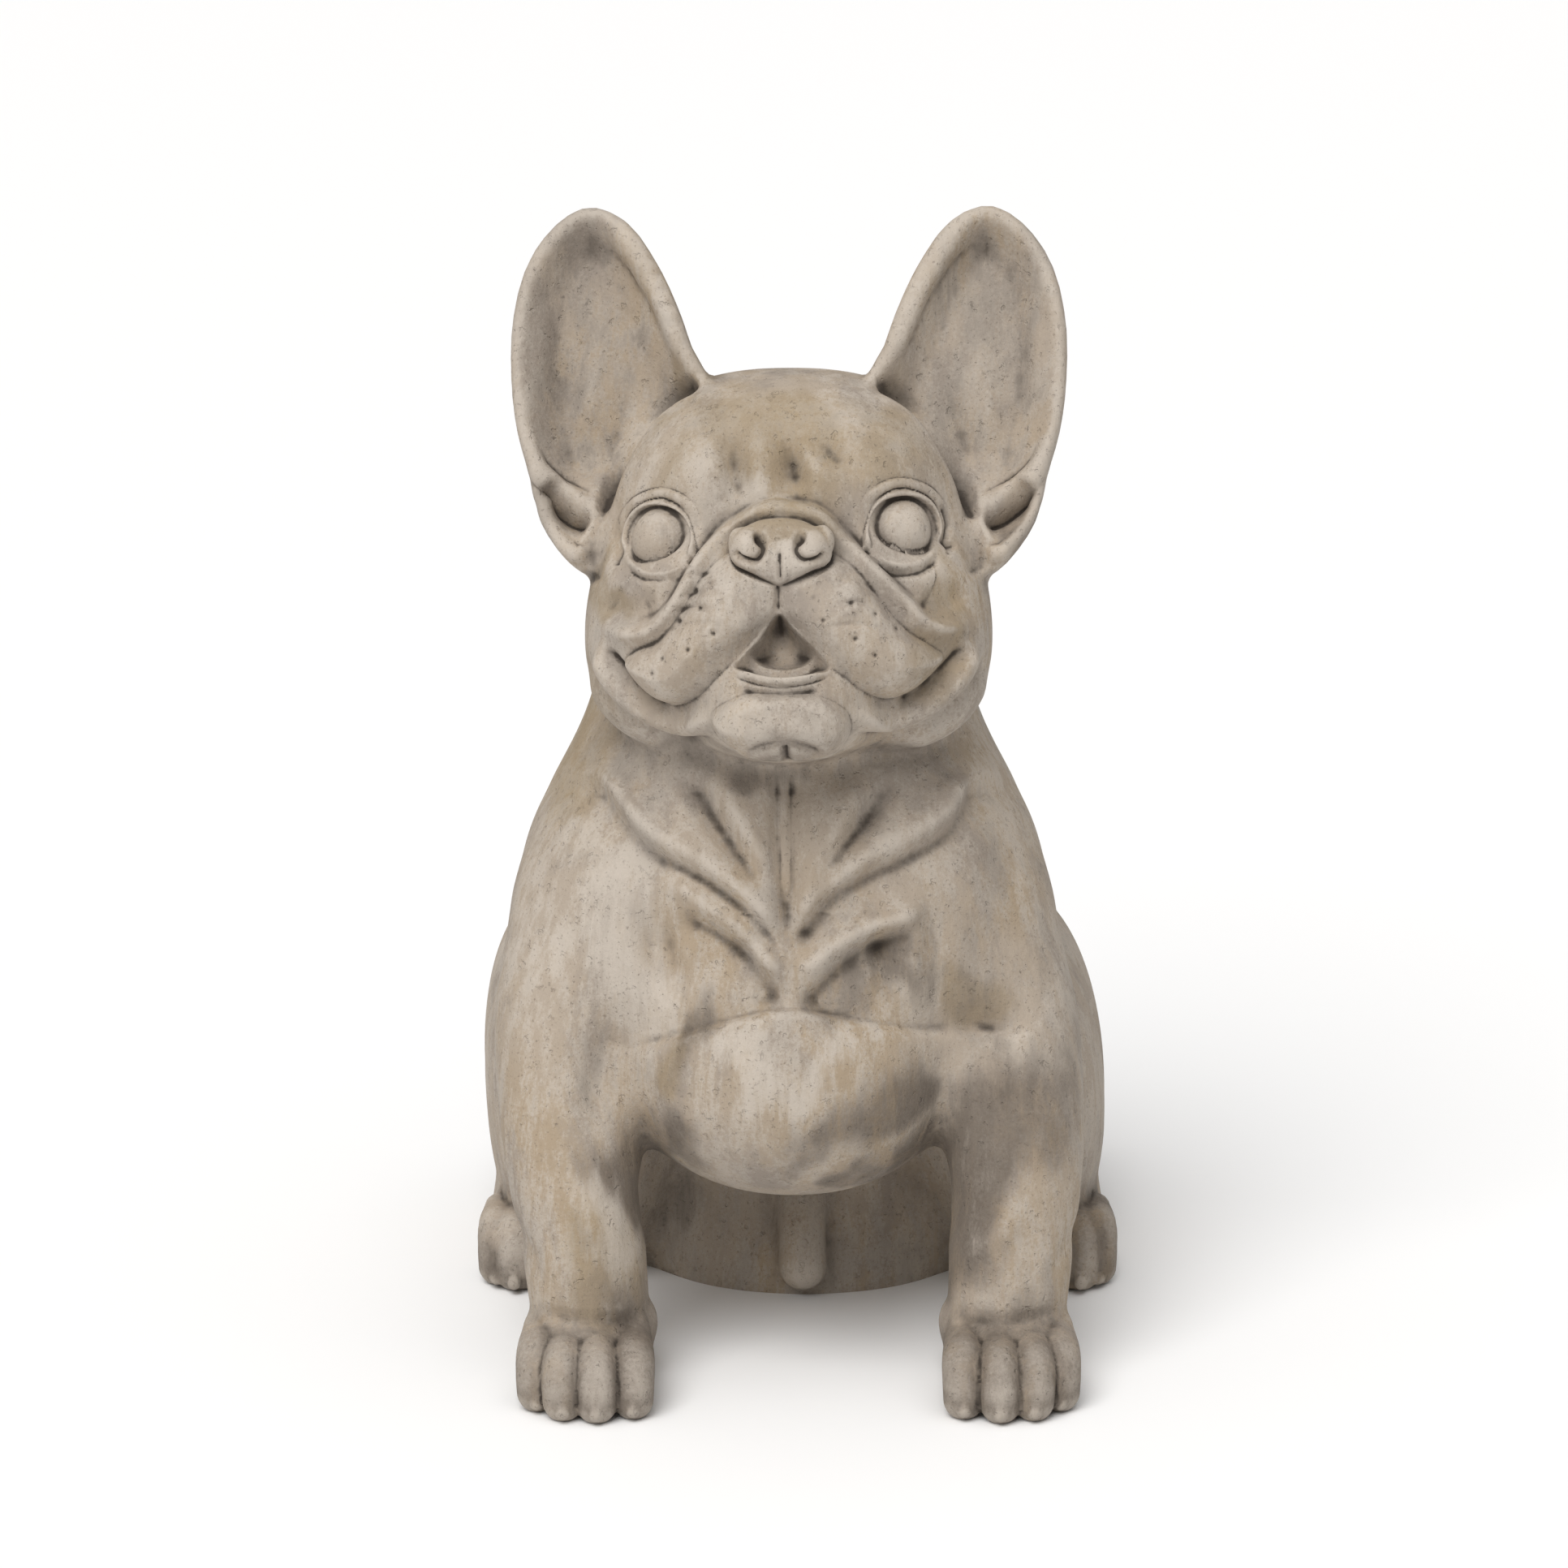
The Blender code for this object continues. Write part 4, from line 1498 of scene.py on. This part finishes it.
class Value:
    """A socket in an expression; operators add Math nodes to its tree."""

    def __init__(self, tree: bpy.types.NodeTree, socket: bpy.types.NodeSocket) -> None:
        self.tree = tree
        self.socket = socket

    def math(self, operation: str, *others: "Value | float", first: "Value | float | None" = None) -> "Value":
        """Add a Math node.

        Args:
            operation: The node's operation.
            others: Values after the first.
            first: First value, or this one.

        Returns:
            The result.
        """
        node = self.tree.nodes.new("ShaderNodeMath")
        node.operation = operation
        for socket, value in zip(node.inputs, (self if first is None else first, *others)):
            if isinstance(value, Value):
                self.tree.links.new(value.socket, socket)
            else:
                socket.default_value = value
        return Value(self.tree, node.outputs[0])

    def __add__(self, other: "Value | float") -> "Value":
        return self.math("ADD", other)

    def __sub__(self, other: "Value | float") -> "Value":
        return self.math("SUBTRACT", other)

    def __mul__(self, other: "Value | float") -> "Value":
        return self.math("MULTIPLY", other)

    def __truediv__(self, other: "Value | float") -> "Value":
        return self.math("DIVIDE", other)

    def __pow__(self, other: "Value | float") -> "Value":
        return self.math("POWER", other)

    def __radd__(self, other: float) -> "Value":
        return self.math("ADD", self, first=other)

    def __rsub__(self, other: float) -> "Value":
        return self.math("SUBTRACT", self, first=other)

    def __rmul__(self, other: float) -> "Value":
        return self.math("MULTIPLY", self, first=other)

    def __rtruediv__(self, other: float) -> "Value":
        return self.math("DIVIDE", self, first=other)

    def __neg__(self) -> "Value":
        return self.math("MULTIPLY", -1.0)

    def step(self, low: float, high: float, top: float = 1.0) -> "Value":
        """Soft step between two values.

        Args:
            low: Where it is nought.
            high: Where it is full.
            top: Its full value.

        Returns:
            The step.
        """
        node = self.tree.nodes.new("ShaderNodeMapRange")
        node.interpolation_type = "SMOOTHSTEP"
        self.tree.links.new(self.socket, node.inputs["Value"])
        node.inputs["From Min"].default_value = low
        node.inputs["From Max"].default_value = high
        node.inputs["To Max"].default_value = top
        return Value(self.tree, node.outputs[0])

    def most(self, other: "Value | float") -> "Value":
        """The greater of two values.

        Args:
            other: The other value.

        Returns:
            The greater one.
        """
        return self.math("MAXIMUM", other)


class Brush:
    """Adds nodes to one material's tree."""

    def __init__(self, tree: bpy.types.NodeTree) -> None:
        self.tree = tree

    def node(self, kind: str, out: int | str = 0, **given: object) -> Value:
        """Add any node.

        Args:
            kind: The node's type.
            out: Output that is wanted.
            given: Settings, and values or links for inputs, by name with _ for a space.

        Returns:
            That output.
        """
        node = self.tree.nodes.new(kind)
        sockets = {}
        for name, value in given.items():
            if hasattr(node, name) and not name[0].isupper():
                setattr(node, name, value)
            else:
                sockets[name] = value
        for name, value in sockets.items():
            socket = self.socket(node, name)
            if isinstance(value, Value):
                self.tree.links.new(value.socket, socket)
            else:
                socket.default_value = value
        return Value(self.tree, node.outputs[out])

    @staticmethod
    def socket(node: bpy.types.Node, name: str) -> bpy.types.NodeSocket:
        """Input that is switched on and has a name.

        Args:
            node: The node.
            name: Input's name, with _ for a space, or its number after an i.

        Returns:
            The input.
        """
        if name[1:].isdigit():
            return node.inputs[int(name[1:])]
        return next(s for s in node.inputs if s.enabled and s.name == name.replace("_", " "))

    @cached_property
    def drifted(self) -> Value:
        """Coordinates pushed about by noise, which tears the edges of what is placed by them."""
        place = self.node("ShaderNodeTexCoord", "Object")
        slanted = self.coordinates((1, 1, 0.6), (0, 24, 0))
        push = self.node("ShaderNodeTexNoise", "Color", Vector=slanted, Scale=20.0, Detail=3.0, Roughness=0.5)
        push = self.node("ShaderNodeVectorMath", operation="SUBTRACT", i0=push, i1=(0.5, 0.5, 0.5))
        far = (0.13, 0.13, 0.13)
        return self.node("ShaderNodeVectorMath", operation="MULTIPLY_ADD", i0=push, i1=far, i2=place)

    def coordinates(self, stretch: Sequence[float] = (1, 1, 1), turn: Sequence[float] = (0, 0, 0)) -> Value:
        """The object's own coordinates, turned and stretched.

        Args:
            stretch: Factor along each axis.
            turn: Degrees about each axis.

        Returns:
            Coordinates.
        """
        place = self.node("ShaderNodeTexCoord", "Object")
        turns = tuple(math.radians(t) for t in turn)
        return self.node("ShaderNodeMapping", Vector=place, Rotation=turns, Scale=tuple(stretch))

    def noise(self, scale: float, detail: float = 4.0, rough: float = 0.55, place: Value | None = None,
              bend: float = 0.0) -> Value:
        """Noise over the object.

        Args:
            scale: Patches to a metre.
            detail: Octaves.
            rough: Weight of the finer octaves.
            place: Coordinates, or the object's own.
            bend: How far it is distorted.

        Returns:
            The noise, about a half.
        """
        place = place or self.coordinates()
        return self.node("ShaderNodeTexNoise", "Fac", Vector=place, Scale=scale, Detail=detail,
                         Roughness=rough, Distortion=bend)

    def blend(self, share: Value | float, a: Value | Sequence[float], b: Value | Sequence[float],
              mode: str = "MIX") -> Value:
        """Mix two colours.

        Args:
            share: Share of the second.
            a: First colour.
            b: Second colour.
            mode: How they mix.

        Returns:
            The colour.
        """
        node = self.tree.nodes.new("ShaderNodeMix")
        node.data_type = "RGBA"
        node.blend_type = mode
        node.clamp_factor = True
        ins = [s for s in node.inputs if s.enabled]
        for socket, value in zip(ins, (share, a, b)):
            if isinstance(value, Value):
                self.tree.links.new(value.socket, socket)
            else:
                socket.default_value = value
        return Value(self.tree, next(s for s in node.outputs if s.enabled))

    def measured(self, name: str) -> Value:
        """A value stored at the mesh's points.

        Args:
            name: Attribute's name.

        Returns:
            The value.
        """
        return self.node("ShaderNodeAttribute", "Fac", attribute_name=name)


@dataclass(frozen=True)
class Patch:
    """Place on the figure that has a stain or lacks one, an ellipsoid with a soft edge.

    Attributes:
        centre: Middle, in metres.
        radii: Half sizes, in metres.
        strength: Share at its middle.
    """

    centre: tuple[float, float, float]
    radii: tuple[float, float, float]
    strength: float = 1.0

    def mask(self, brush: Brush) -> Value:
        """Share of the patch at each place, torn by noise.

        Args:
            brush: Brush of the material.

        Returns:
            From nought outside to one at the middle.
        """
        off = brush.node("ShaderNodeVectorMath", operation="SUBTRACT", i0=brush.drifted, i1=self.centre)
        off = brush.node("ShaderNodeVectorMath", operation="DIVIDE", i0=off, i1=self.radii)
        reach = brush.node("ShaderNodeVectorMath", "Value", operation="LENGTH", i0=off)
        return (1 - reach).step(0.0, 0.75, self.strength)


@dataclass(frozen=True)
class AgedStone:
    """Cast stone with a rubbed brown-grey patina: grime in the folds, rubbed proud parts, stains, with
    painted shade in hollows and painted highlight on parts that face the key light.

    Attributes:
        pale: Rubbed stone, also the painted highlight on the shoulder, chest and muzzle that face the key
            light.
        stone: The patina's middle tone.
        warm: Its yellower patches.
        cool: Its greyer patches.
        dirt_and_shade: Dark tone: pits and dark patina, and painted shade in broad hollows, where the form
            shuts out the sky and in the dark patches.
        soot: Darkest dirt in creases.
        ochre: Stain in sheltered places.
        stained: Where the ochre stain lies.
        rubbed_and_highlit: Where the patina is rubbed through, and where a highlight is painted on the
            shoulder, chest and muzzle that face the key light.
        dark_patina_and_shade: Where the colour is painted darker: dark patina on the paws, legs and ears, and
            painted shade under the belly and chin, in the ear pockets and on the side away from the key
            light.
    """

    pale: tuple[float, ...] = light_of(190, 180, 168)
    stone: tuple[float, ...] = light_of(166, 153, 138)
    warm: tuple[float, ...] = light_of(160, 143, 121)
    cool: tuple[float, ...] = light_of(146, 136, 126)
    dirt_and_shade: tuple[float, ...] = light_of(86, 76, 66)
    soot: tuple[float, ...] = light_of(48, 41, 35)
    ochre: tuple[float, ...] = light_of(139, 120, 88)
    stained: tuple[Patch, ...] = (
        Patch((-0.100, -0.06, 0.250), (0.060, 0.12, 0.075)),
        Patch((-0.055, -0.15, 0.140), (0.020, 0.06, 0.034)),
        Patch((-0.064, -0.10, 0.325), (0.030, 0.06, 0.018)),
        Patch((-0.078, -0.15, 0.050), (0.035, 0.06, 0.030)),
        Patch((-0.044, -0.08, 0.405), (0.016, 0.06, 0.035)),
        Patch((0.064, -0.13, 0.170), (0.030, 0.06, 0.030)),
        Patch((0.000, -0.12, 0.378), (0.080, 0.09, 0.050)),
        Patch((0.050, -0.12, 0.300), (0.030, 0.06, 0.030)),
    )
    # Pale patches: partly rubbed wear, partly painted highlight on the shoulder, chest and muzzle that face
    # the key light.
    rubbed_and_highlit: tuple[Patch, ...] = (
        Patch((-0.004, -0.16, 0.148), (0.050, 0.060, 0.020)),
        Patch((-0.080, -0.12, 0.190), (0.040, 0.070, 0.060)),
        Patch((-0.074, -0.14, 0.060), (0.018, 0.060, 0.030)),
        Patch((-0.004, -0.16, 0.348), (0.034, 0.050, 0.024)),
    )
    # Dark patches: partly dark patina on the paws, legs and ears, partly painted shade under the belly and
    # chin, in the ear pockets and on the side away from the key light.
    dark_patina_and_shade: tuple[Patch, ...] = (
        Patch((-0.03, 0.11, 0.02), (0.130, 0.190, 0.130)),
        Patch((0.084, -0.13, 0.104), (0.054, 0.100, 0.054)),
        Patch((0.066, -0.11, 0.172), (0.044, 0.080, 0.060), 0.6),
        Patch((-0.058, -0.125, 0.085), (0.024, 0.060, 0.050)),
        Patch((0.052, -0.125, 0.060), (0.022, 0.060, 0.055)),
        Patch((0.085, -0.15, 0.006), (0.090, 0.100, 0.056)),
        Patch((-0.085, -0.15, 0.006), (0.090, 0.100, 0.058)),
        Patch((0.028, -0.15, 0.108), (0.038, 0.060, 0.034)),
        Patch((-0.046, -0.13, 0.158), (0.016, 0.060, 0.030)),
        Patch((0.030, -0.13, 0.168), (0.030, 0.060, 0.024), 0.7),
        Patch((-0.098, -0.07, 0.353), (0.026, 0.060, 0.024)),
        Patch((0.090, -0.07, 0.358), (0.030, 0.060, 0.028)),
        Patch((-0.082, -0.05, 0.405), (0.050, 0.080, 0.085), 0.5),
        Patch((0.082, -0.05, 0.410), (0.050, 0.080, 0.080), 0.4),
        Patch((0.0, -0.13, 0.256), (0.054, 0.070, 0.018), 0.7),
        Patch((0.072, -0.12, 0.084), (0.036, 0.090, 0.044)),
        Patch((-0.120, -0.02, 0.012), (0.034, 0.050, 0.034)),
        Patch((0.120, -0.02, 0.012), (0.034, 0.050, 0.034)),
    )

    def material(self) -> bpy.types.Material:
        """Make the material.

        Returns:
            The material.
        """
        made = bpy.data.materials.new("aged_stone_with_painted_shade")
        made.use_nodes = True
        tree = made.node_tree
        tree.nodes.clear()
        brush = Brush(tree)
        shader = tree.nodes.new("ShaderNodeBsdfPrincipled")
        shader.inputs["Specular IOR Level"].default_value = 0.35
        output = tree.nodes.new("ShaderNodeOutputMaterial")
        tree.links.new(shader.outputs[0], output.inputs["Surface"])
        crease = self.creases(brush)
        tree.links.new(self.colour(brush, crease).socket, shader.inputs["Base Color"])
        tree.links.new(self.roughness(brush, crease).socket, shader.inputs["Roughness"])
        tree.links.new(self.relief(brush).socket, shader.inputs["Normal"])
        return made

    def creases(self, brush: Brush) -> Value:
        """Dirt held in creases and folds, torn by fine noise.

        Args:
            brush: Brush of the material.

        Returns:
            From nought on clean ground to one in the deepest crease.
        """
        torn = brush.noise(220, 5, 0.65) - 0.5
        crease = brush.measured("crevice") * 2.2 + brush.measured("fold") * 2.0 + torn * 0.5
        return crease.step(0.08, 1.0)

    def colour(self, brush: Brush, crease: Value) -> Value:
        """Colour of the patina, with painted shade in hollows and painted highlight where the key light
        falls.

        Args:
            brush: Brush of the material.
            crease: Dirt in the creases.

        Returns:
            The colour.
        """
        broad = brush.noise(11, 3, 0.5)
        cloud = brush.noise(34, 8, 0.66, bend=0.4)
        grain = brush.noise(640, 5, 0.8)
        strokes = brush.noise(120, 9, 0.74, brush.coordinates((1, 1, 0.12), (6, 34, 0)))
        smear = brush.noise(30, 8, 0.70, brush.coordinates((1, 1, 0.35), (0, -24, 0)), bend=0.3)
        tone = brush.blend((broad * 0.7 + cloud * 0.3).step(0.42, 0.60), self.stone, self.warm)
        tone = brush.blend(smear.step(0.46, 0.62, 0.8), tone, self.cool)
        mottled = cloud * 0.35 + grain * 0.2 + strokes * 0.45
        tone = brush.blend(mottled.step(0.45, 0.56, 0.72), tone, self.pale)
        stain = self.union(self.stained, brush) * 0.9 + (smear - 0.5) * 0.8
        tone = brush.blend(stain.step(0.15, 0.95, 0.50), tone, self.ochre)
        # Painted shade: the vale, hollow and shelter measures darken broad folds and places the form shuts
        # off from the sky, standing in for occlusion.
        vale = brush.measured("vale")
        uneven = (cloud - 0.5) * 1.4 + (strokes - 0.5) * 2.4 + (smear - 0.5) * 1.2
        painted_shade = vale * 1.9 + brush.measured("hollow") * 0.42 + brush.measured("shelter") * 0.28 + uneven * 0.55
        tone = brush.blend(painted_shade.step(0.10, 1.10, 0.66), tone, self.dirt_and_shade)
        # Dark patches, partly patina and partly painted shade under the belly and chin, in the ear pockets
        # and on the side away from the key light.
        shade = self.union(self.dark_patina_and_shade, brush) + uneven * 0.9
        tone = brush.blend(shade.step(-0.15, 1.4, 0.85), tone, self.dirt_and_shade)
        # Pale patches: partly rubbed wear, partly painted highlight where the key light falls.
        rubbed_and_highlit = self.union(self.rubbed_and_highlit, brush) + uneven * 0.9
        tone = brush.blend(rubbed_and_highlit.step(0.15, 1.2, 0.70), tone, self.pale)
        rub = brush.measured("crevice") * -2.0 + brush.measured("fold") * -1.4 - vale * 1.0
        rub = rub + (grain - 0.5) * 0.6
        tone = brush.blend((rub + uneven * 0.4).step(0.12, 0.90, 0.55), tone, self.pale)
        tone = brush.blend(crease * 0.9, tone, self.soot)
        pits = brush.noise(850, 3, 0.6).step(0.60, 0.70, 0.45)
        tone = brush.blend(pits, tone, self.dirt_and_shade)
        specks = (brush.noise(240, 4, 0.7) * 0.6 + grain * 0.4).step(0.60, 0.66, 0.45)
        return brush.blend(specks, tone, self.soot)

    @staticmethod
    def union(patches: Sequence[Patch], brush: Brush) -> Value:
        """Greatest share of several patches.

        Args:
            patches: The patches.
            brush: Brush of the material.

        Returns:
            Their union.
        """
        mask = patches[0].mask(brush)
        for patch in patches[1:]:
            mask = mask.most(patch.mask(brush))
        return mask

    @staticmethod
    def roughness(brush: Brush, crease: Value) -> Value:
        """Roughness: rubbed parts a little glossier, dirt dull.

        Args:
            brush: Brush of the material.
            crease: Dirt in the creases.

        Returns:
            The roughness.
        """
        return 0.66 + brush.noise(120, 4, 0.6) * 0.16 + crease * 0.18

    @staticmethod
    def relief(brush: Brush) -> Value:
        """Fine relief: sandy grain, pits, brush strokes and soft dents.

        Args:
            brush: Brush of the material.

        Returns:
            Bent normals.
        """
        grain = brush.noise(700, 5, 0.7)
        pits = brush.noise(260, 3, 0.6).step(0.62, 0.72)
        strokes = brush.noise(110, 5, 0.6, brush.coordinates((1, 1, 0.14), (8, 24, 0)))
        dents = brush.noise(55, 5, 0.6)
        height = grain * 0.00028 + strokes * 0.00075 + dents * 0.0013 - pits * 0.00050
        return brush.node("ShaderNodeBump", Strength=0.9, Distance=1.0, Height=height)


# The studio

@dataclass(frozen=True)
class Softbox:
    """Soft light from far off.

    Attributes:
        name: Its name.
        power: Strength.
        spread: Degrees of sky that it covers.
        azimuth: Degrees to the viewer's left of the front.
        height: Degrees above the floor.
    """

    name: str
    power: float
    spread: float
    azimuth: float
    height: float

    def build(self) -> None:
        """Hang the light."""
        lamp = bpy.data.lights.new(self.name, "SUN")
        lamp.energy = self.power
        lamp.angle = math.radians(self.spread)
        lamp.color = (1.0, 0.99, 0.98)
        hung = bpy.data.objects.new(self.name, lamp)
        bpy.context.scene.collection.objects.link(hung)
        a, e = math.radians(self.azimuth), math.radians(self.height)
        way = Vector((-math.sin(a) * math.cos(e), -math.cos(a) * math.cos(e), math.sin(e)))
        hung.rotation_mode = "QUATERNION"
        hung.rotation_quaternion = way.to_track_quat("Z", "Y")


@dataclass(frozen=True)
class Studio:
    """White floor, soft lights, pale sky and the camera of the photograph.

    Attributes:
        lights: The lamps.
        sky: Strength of the white sky.
        eye: Where the camera stands.
        pitch: Degrees that the camera is tipped up from looking straight down.
        lens: Focal length in millimetres.
        floor: Half width of the floor.
    """

    lights: tuple[Softbox, ...] = (
        Softbox("key", 2.2, 42, 24, 50),
        Softbox("top", 1.1, 70, 0, 80),
    )
    sky: float = 0.30
    eye: tuple[float, float, float] = (-0.0057, -2.2187, 0.8074)
    pitch: float = 75.0
    lens: float = 127.4
    floor: float = 14.0

    def build(self) -> None:
        """Set the stage."""
        self.lay_floor()
        self.light()
        self.aim()

    def lay_floor(self) -> None:
        """Lay the plain floor."""
        mesh = bpy.data.meshes.new("floor")
        corners = [(x * self.floor, y * self.floor, 0) for x, y in ((-1, -1), (1, -1), (1, 1), (-1, 1))]
        mesh.from_pydata(corners, [], [(0, 1, 2, 3)])
        floor = bpy.data.objects.new("floor", mesh)
        bpy.context.scene.collection.objects.link(floor)
        plain = bpy.data.materials.new("floor_white")
        plain.use_nodes = True
        shader = plain.node_tree.nodes["Principled BSDF"]
        shader.inputs["Base Color"].default_value = (0.9, 0.9, 0.9, 1)
        shader.inputs["Roughness"].default_value = 0.7
        mesh.materials.append(plain)

    def light(self) -> None:
        """Hang the lamps under a white sky."""
        world = bpy.data.worlds.new("studio")
        world.use_nodes = True
        sky = world.node_tree.nodes["Background"]
        sky.inputs["Color"].default_value = (1, 1, 1, 1)
        sky.inputs["Strength"].default_value = self.sky
        bpy.context.scene.world = world
        for light in self.lights:
            light.build()

    def aim(self) -> None:
        """Set up the camera."""
        seen = bpy.data.cameras.new("camera")
        seen.lens = self.lens
        seen.sensor_width = 36.0
        seen.clip_end = 60.0
        camera = bpy.data.objects.new("camera", seen)
        camera.location = self.eye
        camera.rotation_euler = (math.radians(self.pitch), 0, 0)
        bpy.context.scene.collection.objects.link(camera)
        bpy.context.scene.camera = camera
        bpy.context.scene.view_settings.view_transform = "Standard"


def main() -> None:
    """Build the figure and its studio."""
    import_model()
    Bulldog(Figure(), AgedStone(), CELL).build()
    Studio().build()


if __name__ == "__main__":
    main()
